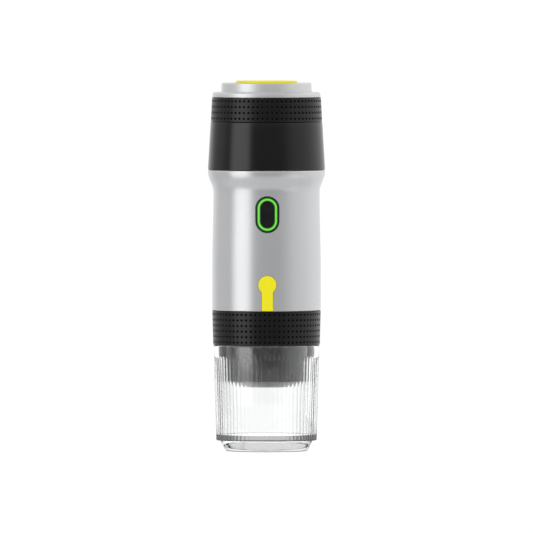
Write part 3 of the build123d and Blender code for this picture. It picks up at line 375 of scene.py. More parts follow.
def flute_cut(level, angle):
    """How deep the scallop lies below the ribs at a place on the wall."""
    if not cup_ledge <= level <= flutes_end:
        return 0.0
    across = cup_radius(level) * angle
    depth = sqrt(max(flute_radius**2 - across**2, 0)) - (flute_radius - flute_depth)
    fade = min(1.0, (flutes_end - level) / flute_fade)
    return max(depth, 0.0) * fade


wall_levels = [cup_ledge + 0.5 + 3.0 * i for i in range(17)]
wall_levels += [flutes_end - 0.8, flutes_end - 0.4, flutes_end]
bore_bottom = cup_radius(cup_floor) - cup_wall
cup_line = rounded(
    [(0, foot_recess, 0), (recess_radius - 1.5, foot_recess, 0), (recess_radius, foot_recess, 0.6)]
    + [(foot_inside, 0, 0.3), (foot_outside, 0, 0.5), (26.2, 1.9, 1.2), (26.87, 3.4, 0)]
    + [(27.99, 5.9, 0), (28.3, cup_ledge, 0.3), (cup_low_radius, cup_ledge, 0.45)]
    + [(cup_radius(z), z, 0) for z in wall_levels + [cup_top - 1.3]]
    + [(cup_rim_radius, cup_top, 0.35), (cup_rim_radius - cup_wall, cup_top, 0.6)]
    + [(cup_radius(z) - cup_wall, z, 0) for z in (cup_top - 1.3, 50, 30, 14.5, cup_floor + 0.4)]
    + [(bore_bottom, cup_floor, 0.1), (bore_bottom - 0.4, cup_floor, 0), (0, cup_floor, 0)]
)
half_slice = pi / cup_flutes
slice_angles = [half_slice * (2 * k / flute_columns - 1) for k in range(flute_columns + 1)]
cup_rows = []
for i, (r, z) in enumerate(cup_line):
    ribbed = r > cup_radius(z) - 0.6 and cup_ledge <= z
    row = []
    for angle in slice_angles:
        reach = r - (flute_cut(z, angle) if ribbed else 0.0)
        row.append((reach * cos(angle) * mm, reach * sin(angle) * mm, z * mm))
    cup_rows.append(row)
cup_slice = grid_mesh("cup_slice", cup_rows, False)
cup = repeat_round("ribbed_cup", cup_slice, cup_flutes, clear_plastic())
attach(cup, "cup")
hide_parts("cup")


# Spout: the dark nylon pot that hangs in the cup, with a sloping floor and a small pressed-in
# outlet. It is a turned moulding, and its flange is clamped inside the collar.
def turned(name, line, material, cutters=()):
    """A round piece, from a closed line of (radius, level) points in millimetres."""
    sides = 192
    angles = [tau * k / sides for k in range(sides)] + [0.0]
    rows = [[(r * cos(a) * mm, r * sin(a) * mm, z * mm) for a in angles] for r, z in line]
    draft = placed(name + "_draft", grid_mesh(name, rows, True))
    return settled(name, draft, material, cutters)


def moulded(name, colour, roughness, relief=0.006, wear=0.06, level=0.5, uneven=0.25):
    """Moulded plastic: fine grain this deep in millimetres, a cloudy sheen and an uneven colour."""
    finish = Finish(name)
    cloud = finish.grain(7.0, detail=3.0)
    fine = finish.grain(0.25)
    lighter = [c + (c + 0.016) * uneven for c in colour] + [1]
    return finish.surface(
        Base_Color=finish.mix(cloud.between(0.35, 0.75), [*colour, 1], lighter),
        Roughness=(cloud - 0.5) * wear + roughness,
        Specular_IOR_Level=level,
        Normal=finish.bump(fine, relief),
    )


spout_low, spout_high = heights("spout_cover")
spout_radius, spout_wall, spout_flange = 27.0, 1.8, 1.4
spout_cone = spout_radius - 0.4
spout_hole, spout_floor = 6.15, 14.5
flange_bottom = spout_high - 1.4
spout_line = rounded(
    [(spout_hole, spout_low, 0), (spout_floor, spout_low, 0.8), (spout_cone, spout_low + 3.9, 0.5)]
    + [(spout_radius, flange_bottom, 0), (spout_radius + spout_flange, flange_bottom, 0)]
    + [(spout_radius + spout_flange, spout_high, 0), (spout_radius - spout_wall, spout_high, 0)]
    + [(spout_cone - spout_wall, spout_low + 4.5, 0.5), (spout_floor, spout_low + spout_wall, 0.8)]
    + [(spout_hole, spout_low + 0.9, 0)]
)
grey_nylon = moulded("grey_nylon", (0.02, 0.02, 0.021), 0.11, relief=0.001, level=0.85)
spout = turned("spout_pot", spout_line, grey_nylon)
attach(spout, "brew_head")
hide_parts("spout_cover")


# Grip bands: two sleeves of matte black silicone, stretched over the collar and over the lid,
# with round pits moulded in even rows. Each is one column of pits repeated round the axis.
def silicone(name, colour, roughness, dust=0.35):
    """Silicone rubber: a fine matte skin that holds a trace of dust and handling."""
    finish = Finish(name)
    smear = finish.grain(14.0, detail=4.0)
    speck = finish.grain(0.6)
    dusty = [c + (0.3 - c) * 0.06 for c in colour] + [1]
    share = smear.between(0.45, 0.8) * speck.between(0.35, 0.75) * dust
    return finish.surface(
        Base_Color=finish.mix(share, [*colour, 1], dusty),
        Roughness=(smear - 0.5) * 0.12 + roughness,
        Specular_IOR_Level=0.38,
        Normal=finish.bump(finish.grain(0.12), 0.003),
    )


pit_sides = 16
# Radius and height over the skin of each ring of points in a pit
pit_rings = [(0.82, 0.0), (0.74, -0.05), (0.68, -0.25), (0.4, -0.7), (0.12, -1.08)]


def join_rings(shape, outer, inner):
    """Faces between two closed rings of points."""
    for k in range(len(outer)):
        n = (k + 1) % len(outer)
        shape.faces.new([outer[k], outer[n], inner[n], inner[k]])


def fan(shape, ring, hub):
    """Faces between a closed ring of points and one in its middle."""
    for k in range(len(ring)):
        shape.faces.new([ring[k], ring[(k + 1) % len(ring)], hub])


def grip_sleeve(name, node, rows, columns, inner, material):
    """A sleeve as wide and high as its CAD node, with rows of pits, from one column's slice."""
    low, high = heights(node)
    widest = {}
    for v in cad[node].data.vertices:
        z = round(v.co.z / mm, 2)
        widest[z] = max(widest.get(z, 0.0), hypot(v.co.x, v.co.y) / mm)
    bead = 0.35
    low_radius, high_radius = widest[min(widest)] + bead, widest[max(widest)] + bead
    half = pi / columns
    bottom, top = low + bead, high - bead
    pitch = (top - bottom) / rows

    def skin_radius(up):
        return low_radius + (high_radius - low_radius) * up / (top - bottom)

    def place(along, up, height):
        """A point of the skin: along is in millimetres from the column's middle line."""
        angle, radius = along / skin_radius(up), skin_radius(up) + height
        return (radius * cos(angle) * mm, radius * sin(angle) * mm, (bottom + up) * mm)

    turns = [tau * k / pit_sides for k in range(pit_sides)]
    shape = bmesh.new()
    for row in range(rows):
        middle = pitch * (row + 0.5)
        border = []
        for t in turns:
            square = 1 / max(abs(cos(t)), abs(sin(t)))
            up = middle + sin(t) * square * pitch / 2
            border.append(place(cos(t) * square * skin_radius(up) * half, up, 0))
        rings = [border]
        for size, height in pit_rings:
            rings.append([place(size * cos(t), middle + size * sin(t), height) for t in turns])
        rings = [[shape.verts.new(point) for point in ring] for ring in rings]
        for outer, inside in zip(rings, rings[1:]):
            join_rings(shape, outer, inside)
        fan(shape, rings[-1], shape.verts.new(place(0, middle, pit_rings[-1][1] - 0.03)))
    edge = rounded(
        [(high_radius, top, 0), (high_radius, high, bead), (inner, high, 0)]
        + [(inner, low, 0), (low_radius, low, bead), (low_radius, bottom, 0)]
    )
    marks = [-1.0, -tan(pi / 8), 0.0, tan(pi / 8), 1.0]
    rings = []
    for r, z in edge:
        ring = [(r * cos(half * u) * mm, r * sin(half * u) * mm, z * mm) for u in marks]
        rings.append([shape.verts.new(point) for point in ring])
    for first, second in zip(rings, rings[1:]):
        for i in range(len(marks) - 1):
            shape.faces.new([first[i + 1], first[i], second[i], second[i + 1]])
    bmesh.ops.remove_doubles(shape, verts=shape.verts, dist=0.002 * mm)
    bmesh.ops.recalc_face_normals(shape, faces=shape.faces)
    return repeat_round(name, mesh_of(name + "_column", shape), columns, material)


brew_inside, lid_inside = 31.2, 32.15
black_silicone = silicone("black_silicone", (0.004, 0.004, 0.0042), roughness=0.31, dust=0.1)
brew_band = grip_sleeve("brew_head_grip", "brew_grip_band", 6, 70, brew_inside, black_silicone)
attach(brew_band, "brew_head")
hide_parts("brew_grip_band")
lid_band = grip_sleeve("lid_grip", "lid_grip_band", 4, 72, lid_inside, black_silicone)
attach(lid_band, "water_lid")
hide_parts("lid_grip_band")


# Body: moulded shell in satin silver paint, straight below, drawn in to a waist and flared out to
# the shoulder. A slot for the button and a keyhole for the charging plug are cut in its front.
def silver_paint(name, colour, roughness=0.3):
    """Satin metallic paint: fine flakes in the colour and relief, and a clear even coat."""
    finish = Finish(name)
    flake = finish.grain(0.14, detail=1.0)
    cloud = finish.grain(22.0, detail=3.0)
    bright = [min(1.0, c * 1.09) for c in colour] + [1]
    dull = [c * 0.94 for c in colour] + [1]
    return finish.surface(
        Base_Color=finish.mix(flake.between(0.35, 0.65), dull, bright),
        Metallic=0.58,
        Roughness=(cloud - 0.5) * 0.05 + roughness,
        Coat_Weight=0.1,
        Coat_Roughness=0.25,
        Normal=finish.bump(flake, 0.004),
    )


body_low, body_high = heights("main_shell")
body_full, body_waist, body_shoulder = 33.35, 32.6, 36.0
body_straight_end = body_low + 24.0
body_waist_level = body_high - 13.4
body_rim_level = body_high - 1.4
body_wall, body_mouth = 1.8, 27.35


def body_radius(level):
    """The body's outside radius: straight, drawn in to the waist, then out to the shoulder."""
    if level <= body_straight_end:
        return body_full
    if level <= body_waist_level:
        share = (level - body_straight_end) / (body_waist_level - body_straight_end)
        low, high = body_full, body_waist
    else:
        share = min(1.0, (level - body_waist_level) / (body_rim_level - body_waist_level))
        low, high = body_waist, body_shoulder
    return low + (high - low) * share**2 * (3 - 2 * share)


body_steps = 44
body_rise = (body_rim_level - body_low - 0.5) / body_steps
body_levels = [body_low + 0.5 + body_rise * i for i in range(body_steps + 1)]
inside_levels = [z for z in reversed(body_levels) if z > body_low + body_wall + 0.5]
shell_line = rounded(
    [(body_mouth, body_low, 0), (body_full, body_low, 0.3)]
    + [(body_radius(z), z, 0) for z in body_levels]
    + [(body_shoulder, body_high, 0.9), (body_shoulder - body_wall, body_high, 0.2)]
    + [(body_radius(z) - body_wall, z, 0) for z in inside_levels]
    + [(body_full - body_wall, body_low + body_wall, 0.4), (body_mouth, body_low + body_wall, 0)]
)


def slot_outline(inset):
    """The button's upright slot shape drawn in by this inset, as (x, level) points."""
    caps, sides = 20, 6
    half = button_width / 2 - inset
    straight = (button_height - button_width) / 2
    points = []
    for end in (1, -1):
        for k in range(caps + 1):
            t = pi * k / caps
            points.append((half * cos(t) * end, button_middle + end * (straight + half * sin(t))))
        for k in range(1, sides):
            points.append((-half * end, button_middle + end * straight * (1 - 2 * k / sides)))
    return points


def keyhole_half(level, spare=0.0):
    """Half the plug's width at a level: a straight stem, a rounded neck and a round head."""
    head, stem, neck = plug_head + spare, plug_stem / 2 + spare, plug_neck - spare
    if level > neck_level + neck * sin(neck_turn):
        return sqrt(max(head**2 - (level - plug_middle) ** 2, 0.0))
    if level > neck_level:
        return stem + neck - sqrt(neck**2 - (level - neck_level) ** 2)
    return stem


def keyhole_levels(starts, spare=0.0):
    """Levels up the keyhole shape, from these first ones, close together where it curves."""
    head, neck = plug_head + spare, plug_neck - spare
    stem = [starts[-1] + (neck_level - starts[-1]) * k / 22 for k in range(1, 22)]
    bend = [neck_level + neck * sin(neck_turn * k / 6) for k in range(7)]
    arc = (pi / 2 + neck_turn) / 24
    dome = [plug_middle + head * sin(arc * k - neck_turn) for k in range(1, 25)]
    return starts + stem + bend + dome


def keyhole_outline(spare, bottom):
    """The keyhole's outline with some room round it, as (x, level) points."""
    side = [(keyhole_half(z, spare), z) for z in keyhole_levels([bottom], spare)]
    return side + [(-x, z) for x, z in side[-2::-1]]


def prism(name, outline, front, back):
    """A closed solid with this (x, level) outline, from y = front to y = back."""
    shape = bmesh.new()
    near = [shape.verts.new((x * mm, front * mm, z * mm)) for x, z in outline]
    far = [shape.verts.new((x * mm, back * mm, z * mm)) for x, z in outline]
    shape.faces.new(near)
    shape.faces.new(far)
    join_rings(shape, near, far)
    bmesh.ops.recalc_face_normals(shape, faces=shape.faces)
    return placed(name, mesh_of(name, shape))


button_width, button_height = 14.5, 22.3
button_middle = sum(heights("button_bezel")) / 2
plug_head, plug_stem, plug_neck = 5.55, 7.0, 1.8
plug_middle = heights("port_plug")[1] - plug_head
neck_fall = sqrt((plug_head + plug_neck) ** 2 - (plug_stem / 2 + plug_neck) ** 2)
neck_level = plug_middle - neck_fall
neck_turn = atan2(neck_fall, plug_stem / 2 + plug_neck)
window_gap = 0.15
cut_front, cut_back, strap_back = -45, -20, -31.65
strap_half = plug_stem / 2 + window_gap
seat_low, seat_high = body_low - 1, body_low + body_wall + 0.1
strap_seat = [(-strap_half, seat_low), (-strap_half, seat_high)]
strap_seat += [(strap_half, seat_high), (strap_half, seat_low)]

silver = silver_paint("silver_paint", (0.63, 0.635, 0.645))
windows = [
    prism("slot_cutter", slot_outline(-window_gap), cut_front, cut_back),
    prism("port_cutter", keyhole_outline(window_gap, body_low + body_wall), cut_front, cut_back),
    prism("strap_cutter", strap_seat, cut_front, strap_back),
]
body = turned("silver_body", shell_line, silver, windows)
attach(body, "housing")
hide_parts("main_shell")


# Button: a black bezel glued in the slot, a lit green light guide inside it and the black key
# that is pressed. All three follow the body's surface.
def on_body(x, level, height):
    """A place on the body's front at this height over its surface."""
    radius = body_radius(level) + height
    return (x * mm, -sqrt(radius**2 - x**2) * mm, level * mm)


def relief(name, loops, material, centre=None):
    """A piece on the body's face, from loops of (x, level) points and their heights over it."""
    shape = bmesh.new()

    def place(x, z, height):
        return shape.verts.new(on_body(x, z, height))

    rings = [[place(x, z, height) for x, z in points] for points, height in loops]
    pairs = list(zip(rings, rings[1:]))
    if centre is None:
        pairs.append((rings[-1], rings[0]))
    for outer, inner in pairs:
        join_rings(shape, outer, inner)
    if centre is not None:
        for ring, (_, height) in ((rings[0], loops[0]), (rings[-1], loops[-1])):
            fan(shape, ring, place(*centre, height))
    bmesh.ops.remove_doubles(shape, verts=shape.verts, dist=0.001 * mm)
    bmesh.ops.recalc_face_normals(shape, faces=shape.faces)
    return settled(name, placed(name + "_draft", mesh_of(name, shape)), material)


def shrunk(points, centre, share):
    """The loop drawn in towards its centre."""
    cx, cz = centre
    return [(cx + (x - cx) * share, cz + (z - cz) * share) for x, z in points]


def light_guide():
    """Green light guide, brightest along its middle and dim at its edges and beside the frame."""
    finish = Finish("lit_light_guide")
    place = finish.node("TexCoord", {}, out="Object")
    x, z = (finish.node("SeparateXYZ", {}, place, out=axis) for axis in "XZ")
    rise = z - button_middle * mm
    rise = rise.maths("ABSOLUTE", rise) - (button_height - button_width) / 2 * mm
    rise = rise.maths("MAXIMUM", rise, 0.0)
    reach = x.maths("SQRT", x * x + rise * rise)
    middle = (button_width / 2 - 1.96) * mm
    off = reach.maths("ABSOLUTE", reach - middle)
    lit = 1 - off.past(0.2, 0.8)
    glow = finish.grain(2.5).between(0.2, 0.9)
    bright = finish.mix(glow, (0.15, 0.86, 0.05, 1), (0.22, 0.95, 0.09, 1))
    return finish.surface(
        Base_Color=(0.02, 0.12, 0.01, 1),
        Roughness=0.35,
        Emission_Color=finish.mix(lit, (0.015, 0.12, 0.01, 1), bright),
        Emission_Strength=0.85,
    )


def slot_loops(*section):
    """Loops of a button piece, from its section's (inset, height) points."""
    return [(slot_outline(inset), height) for inset, height in section]


button_under = -1.7
satin_black = moulded("satin_black", (0.008, 0.008, 0.0085), 0.34, relief=0.003)
bezel_loops = slot_loops((0, button_under), (0, 0.05), (0.05, 0.15), (0.16, 0.2))
bezel_loops += slot_loops((0.8, 0.2), (0.9, 0.15), (0.95, 0.05), (0.95, button_under))
bezel = relief("button_frame", bezel_loops, satin_black)
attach(bezel, "housing")
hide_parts("button_bezel")
ring_loops = slot_loops((1.02, button_under), (1.02, 0.0), (1.1, 0.08), (1.3, 0.1))
ring_loops += slot_loops((2.5, 0.1), (2.7, 0.08), (2.77, 0.0), (2.77, button_under))
light_ring = relief("green_light_ring", ring_loops, light_guide())
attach(light_ring, "housing")
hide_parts("button_light_ring")
key_edge, key_centre = 2.97, (0.0, button_middle)
key_loops = slot_loops((key_edge, button_under), (key_edge, 0.0), (key_edge + 0.1, 0.07))
key_face, key_height, key_dish = slot_outline(key_edge + 0.35), 0.1, 0.12
for share in (1.0, 0.8, 0.6, 0.4, 0.2):
    height = key_height - key_dish * (1 - share**2)
    key_loops.append((shrunk(key_face, key_centre, share), height))
gloss_black = moulded("gloss_black", (0.006, 0.006, 0.0075), 0.16, relief=0.001, wear=0.1)
key = relief("power_key", key_loops, gloss_black, key_centre)
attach(key, "power_key")
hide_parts("button_key")


# Charging plug: one soft yellow silicone moulding, a keyhole-shaped tab that closes the socket,
# with a strap down to its fixed tail.
plug_proud, plug_rounding, plug_under = 0.35, 0.4, -1.45
tail_level = body_low + 0.05


def plug_height(x, level):
    """How far the plug's face stands over the body: flat, with a rounded edge."""
    if level > plug_middle:
        inside = plug_head - hypot(x, level - plug_middle)
    else:
        inside = min(keyhole_half(level) - abs(x), level - tail_level)
    share = 1 - min(max(inside, 0.0) / plug_rounding, 1.0)
    return plug_proud * sqrt(1 - share**2)


# Rows of points up the plug, each once round it: over its face and back under it
columns = [1.0, 0.985, 0.95, 0.89, 0.75, 0.5, 0.25]
columns = columns + [0.0] + [-u for u in reversed(columns)]
tail_face, tail_under = on_body(0, tail_level, 0), on_body(0, tail_level, plug_under)
plug_rows = [[tail_face] * len(columns) + [tail_under] * len(columns) + [tail_face]]
for level in keyhole_levels([tail_level + inside for inside in (0, 0.06, 0.18, 0.4)]):
    places = [(keyhole_half(level) * u, level) for u in columns]
    face = [on_body(x, z, plug_height(x, z)) for x, z in places]
    under = [on_body(x, z, plug_under) for x, z in reversed(places)]
    plug_rows.append(face + under + face[:1])
plug_draft = placed("plug_draft", grid_mesh("plug", plug_rows, False))
yellow_silicone = silicone("yellow_silicone", (0.9, 0.81, 0.004), roughness=0.5, dust=0.07)
plug = settled("yellow_port_plug", plug_draft, yellow_silicone)
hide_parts("port_plug", "port_plug_anchor")
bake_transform(plug)


# Tank shroud: satin black cone that stands on the body, with a two-start screw thread on its neck
# for the lid. The brew group's neck below the body has the same thread for the brew head.
def satin_paint():
    """Satin black paint with a faint orange peel."""
    finish = Finish("satin_black_paint")
    peel = finish.grain(1.4)
    cloud = finish.grain(20.0, detail=3.0)
    return finish.surface(
        Base_Color=finish.mix(cloud, (0.004, 0.004, 0.0042, 1), (0.0065, 0.0065, 0.0067, 1)),
        Roughness=(cloud - 0.5) * 0.05 + 0.21,
        Specular_IOR_Level=0.5,
        Normal=finish.bump(peel, 0.004),
    )


thread_lead, thread_starts, thread_depth = 7.0, 2, 0.75


def thread_cutter(name, low, high, crest, root):
    """A cutter that leaves a screw thread: a ring for an outside one, a plug for an inside one."""
    segments, steps = 120, int((high - low) / 0.3)
    runout, half_groove, flank = 1.2, 0.33, 0.16
    out = 1 if root < crest else -1
    clear = crest + 0.3 * out

    def ring(z, radii):
        turns = [tau * k / segments for k in range(segments)]
        points = [(r * cos(t) * mm, r * sin(t) * mm, z * mm) for r, t in zip(radii, turns)]
        return points + points[:1]

    rows = []
    for i in range(steps + 1):
        z = low + (high - low) * i / steps
        fade = max(0.0, min(1.0, (z - low) / runout, (high - z) / runout))
        radii = []
        for k in range(segments):
            phase = ((z - low) * thread_starts / thread_lead - thread_starts * k / segments) % 1.0
            groove = max(0.0, min(1.0, (half_groove - abs(phase - 0.5)) / flank))
            radii.append(clear + (root - clear) * groove**2 * (3 - 2 * groove) * fade)
        rows.append(ring(z, radii))
    back = crest + 2.5 if out > 0 else 0.0
    rows += [ring(z, [back] * segments) for z in (high, low)]
    return placed(name, grid_mesh(name, rows, True))


bodies = frame["record"]["behaviour"]["bodies"]
body_of = {node: body_name for body_name, members in bodies.items() for node in members}


def finished(name, node, material, cutters=()):
    """A CAD node's piece, from a welded copy of its mesh, with its threads cut."""
    shape = bmesh.new()
    shape.from_mesh(cad[node].data)
    bmesh.ops.remove_doubles(shape, verts=shape.verts, dist=0.0005 * mm)
    draft = placed(node + "_draft", mesh_of(node + "_copy", shape))
    piece = settled(name, draft, material, cutters)
    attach(piece, body_of[node])
    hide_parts(node)


shroud_high = heights("tank_shroud")[1]
shroud_low = body_high + 0.2
shroud_top = heights("lid_grip_band")[0] - 0.2
cone_low, cone_high, shroud_wall = 36.0, 34.3, 1.8
neck_outside, neck_inside = 30.2, 28.65
cone_lean, cone_rise = (cone_high - cone_low) / 6, (shroud_top - shroud_low) / 6
cone = [(cone_low + cone_lean * i, shroud_low + cone_rise * i, 0) for i in range(1, 6)]
shroud_line = rounded(
    [(cone_low - shroud_wall, shroud_low, 0), (cone_low, shroud_low, 0.25)]
    + cone
    + [(cone_high, shroud_top, 0.5), (neck_outside, shroud_top, 0.15)]
    + [(neck_outside, shroud_high, 0.4), (neck_inside, shroud_high, 0.2)]
    + [(neck_inside, shroud_top - shroud_wall, 0)]
    + [(cone_high - shroud_wall, shroud_top - shroud_wall, 0)]
)
black_paint = satin_paint()
neck_span = shroud_top + 0.8, shroud_high - 0.6
lid_thread = thread_cutter("lid_thread", *neck_span, neck_outside, neck_outside - thread_depth)
shroud = turned("black_shroud", shroud_line, black_paint, [lid_thread])
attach(shroud, "housing")
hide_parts("tank_shroud")


# Brew group: moulded black head in the body's foot. Its neck carries the screw thread of the brew
# head, and a steel shower plate with three spikes is screwed to its middle. All of the body's
# screws are one piece.
neck_radius = 28.6
group_span = heights("brew_group")[0] + 0.6, body_low - 1.4
group_thread = thread_cutter("group_thread", *group_span, neck_radius, neck_radius - thread_depth)
finished("brew_group_head", "brew_group", satin_black, [group_thread])


def metal(name, colour, roughness, stretch=(1, 1, 14), scratch=0.35, relief=0.0015):
    """Bare metal: fine lines from drawing or rolling, and cloudy handling marks."""
    finish = Finish(name)
    lines = finish.grain(scratch, stretch, detail=3.0)
    cloud = finish.grain(9.0, detail=3.0)
    dark = [c * 0.88 for c in colour] + [1]
    return finish.surface(
        Base_Color=finish.mix(cloud.between(0.3, 0.7), dark, [*colour, 1]),
        Metallic=1.0,
        Roughness=(lines - 0.5) * 0.18 + (cloud - 0.5) * 0.08 + roughness,
        Normal=finish.bump(lines, relief),
    )


rolled_steel = metal("rolled_steel", (0.6, 0.6, 0.59), 0.26, (14, 1, 1))
screw_steel = metal("screw_steel", (0.5, 0.5, 0.51), 0.3, (1, 1, 1), 0.5)
finished("shower_disc", "shower_plate", rolled_steel)
finished("frame_screws", "body_screws", screw_steel)


# Brew head: black collar with two catches for the cup and an inside screw thread, the capsule's
# holder in it with its steel piercing disc, the spout's outlet and the seals between them.
collar_bore, collar_root = 28.95, 29.65
collar_span = heights("capsule_holder")[1] + 0.8, heights("brew_collar")[1] - 0.6
collar_thread = thread_cutter("collar_thread", *collar_span, collar_bore, collar_root)
finished("brew_head_collar", "brew_collar", satin_black, [collar_thread])
finished("capsule_cup", "capsule_holder", grey_nylon)
finished("spout_outlet", "spout_insert", grey_nylon)
stainless = metal("stainless_steel", (0.6, 0.6, 0.59), 0.24)
finished("capsule_piercing_disc", "capsule_piercer", stainless)
white_silicone = silicone("white_silicone", (0.72, 0.72, 0.69), roughness=0.48, dust=0.5)
finished("spout_gasket", "spout_seal", white_silicone)
finished("capsule_gasket", "brew_seal", white_silicone)


# Charging socket: steel receptacle on the board's edge, seen through the mouth of a black tray
# once the yellow plug is swung down.
finished("port_tray_plate", "port_tray", satin_black)
port_steel = metal("nickel", (0.62, 0.6, 0.56), 0.22, (1, 8, 1))
finished("charging_receptacle", "charge_port", port_steel)


# Frame: two moulded decks with four posts, three cells side by side, and the control board with
# its parts, its switch and the lamps behind the button.
def cell_wrap():
    """Blue shrink film over a cell, with a lighter band near its end and small creases."""
    finish = Finish("cell_wrap")
    place = finish.node("TexCoord", {}, out="Object")
    height = finish.node("SeparateXYZ", {}, place, out="Z")
    band_low, band_high, edge = 150.7, 153.7, 0.2
    band = height.past(band_low - edge, band_low + edge)
    band = band - height.past(band_high - edge, band_high + edge)
    crease = finish.grain(1.6, (1, 1, 5), detail=3.0)
    base = finish.mix(crease, (0.02, 0.1, 0.3, 1), (0.03, 0.13, 0.36, 1))
    return finish.surface(
        Base_Color=finish.mix(band, base, (0.6, 0.62, 0.66, 1)),
        Roughness=(crease - 0.5) * 0.2 + 0.3,
        Normal=finish.bump(crease, 0.03),
    )


def circuit_board():
    """Green solder mask with copper runs under it and rows of tinned pads."""
    finish = Finish("circuit_board")
    place = finish.node("TexCoord", {}, out="Object")
    slant = {"wave_type": "BANDS", "bands_direction": "DIAGONAL"}
    runs = finish.node("TexWave", slant, place, 900.0, 6.0, 2.0, out="Fac")
    across = finish.node("TexBrick", {}, place, out="Fac", Scale=330.0, Mortar_Size=0.18)
    mask = finish.mix(runs.between(0.55, 0.65), (0.012, 0.12, 0.05, 1), (0.03, 0.2, 0.07, 1))
    pads = runs.between(0.86, 0.9) * across
    return finish.surface(
        Base_Color=finish.mix(pads, mask, (0.7, 0.66, 0.55, 1)),
        Metallic=pads,
        Roughness=pads * 0.1 + 0.3,
        Normal=finish.bump(runs.between(0.5, 0.7), 0.03),
    )


nickel = metal("nickel_strip", (0.62, 0.6, 0.56), 0.28, (12, 1, 1))
inside_black = moulded("inside_black", (0.02, 0.02, 0.021), 0.5, relief=0.008)
natural = moulded("natural_plastic", (0.7, 0.68, 0.6), 0.42, relief=0.005, uneven=0.06)
for name, node, slot, material in (
    ("lower_frame_deck", "lower_deck", "natural_plastic", natural),
    ("upper_frame_deck", "upper_deck", "natural_plastic", natural),
    ("cells", "battery_cells", "cell_wrap", cell_wrap()),
    ("cell_strips", "cell_links", "nickel", nickel),
    ("board", "control_board", "circuit_board", circuit_board()),
    ("board_components", "board_parts", "gloss_black_plastic", gloss_black),
    ("key_switch", "tact_switch", "black_plastic", inside_black),
    ("key_plunger", "switch_plunger", "natural_plastic", natural),
):
    finished(name, node, material)


# Motor and pump: plated steel motor hung from the upper deck in a rubber cup, its cam, and below
# it a small three-chamber membrane pump that stands on a rubber pad.
motor_steel = metal("motor_steel", (0.55, 0.55, 0.56), 0.3, (1, 1, 1), 0.6)
magnet = moulded("magnet", (0.05, 0.05, 0.055), 0.55, relief=0.02)
dark_rubber = silicone("motor_rubber", (0.03, 0.03, 0.03), roughness=0.7)
for name, node, slot, material in (
    ("motor_case", "motor_can", "motor_steel", motor_steel),
    ("motor_end", "motor_end_bell", "natural_plastic", natural),
    ("motor_field_magnets", "motor_magnets", "magnet", magnet),
    ("motor_shaft_and_armature", "motor_rotor", "motor_steel", motor_steel),
    ("motor_mount_cup", "motor_grommet", "black_silicone", dark_rubber),
    ("pump_cam", "pump_drive_cam", "natural_plastic", natural),
    ("pump_housing", "pump_body", "natural_plastic", natural),
    ("pump_swash", "pump_swash_plate", "natural_plastic", natural),
    ("pump_membranes", "pump_membrane", "black_silicone", dark_rubber),
    ("pump_head", "pump_cover", "natural_plastic", natural),
    ("pump_head_screws", "pump_screws", "screw_steel", screw_steel),
    ("pump_foot_pad", "pump_pad", "black_silicone", dark_rubber),
):
    finished(name, node, material)


# Hoses: two milky silicone tubes, from the tank's outlet down to the pump and from the pump to the
# brew group.
def hose_rubber():
    """Milky silicone: light passes through it, and dust clings to it."""
    finish = Finish("clear_silicone")
    cloud = finish.grain(3.0, detail=3.0)
    return finish.surface(
        Base_Color=finish.mix(cloud, (0.72, 0.74, 0.73, 1), (0.82, 0.83, 0.82, 1)),
        Roughness=(cloud - 0.5) * 0.1 + 0.32,
        Transmission_Weight=0.35,
        Subsurface_Weight=0.2,
        Subsurface_Radius=(0.002, 0.002, 0.002),
        Normal=finish.bump(cloud, 0.02),
    )


milky = hose_rubber()
finished("suction_tube", "suction_hose", milky)
finished("delivery_tube", "delivery_hose", milky)


# Tank: drawn stainless beaker hung by its lip in the shroud's neck, with a threaded outlet under a
# small strainer, and a cast heater pressed against its floor by a bracket with a silicone pad.
cast = metal("cast_aluminium", (0.56, 0.56, 0.57), 0.45, (1, 1, 1), 0.4, relief=0.02)
for name, node, slot, material in (
    ("shroud_base_plate", "shroud_base", "natural_plastic", natural),
    ("steel_tank", "water_tank", "stainless_steel", stainless),
    ("tank_outlet_fitting", "tank_outlet", "natural_plastic", natural),
    ("tank_outlet_strainer", "tank_strainer", "stainless_steel", stainless),
    ("heater", "heater_plate", "cast_aluminium", cast),
    ("heater_insulation", "heater_pad", "white_silicone", white_silicone),
    ("heater_clamp", "heater_bracket", "screw_steel", screw_steel),
    ("heat_sensors", "thermal_sensors", "nickel", nickel),
):
    finished(name, node, material)


# Lid: black core with the inside screw thread, its gasket, white liner and vent, and on top the
# stepped cap in silver paint with a yellow disc let into it.
core_low, core_bore, core_root = heights("lid_core")[0], 30.55, 31.15
core_thread = thread_cutter("core_thread", core_low + 0.8, core_low + 9.0, core_bore, core_root)
finished("lid_core_thread", "lid_core", satin_black, [core_thread])
finished("lid_gasket", "lid_seal", white_silicone)
finished("lid_lining", "lid_liner", natural)
finished("lid_cap_screws", "lid_screws", screw_steel)
finished("lid_air_vent", "lid_vent", white_silicone)

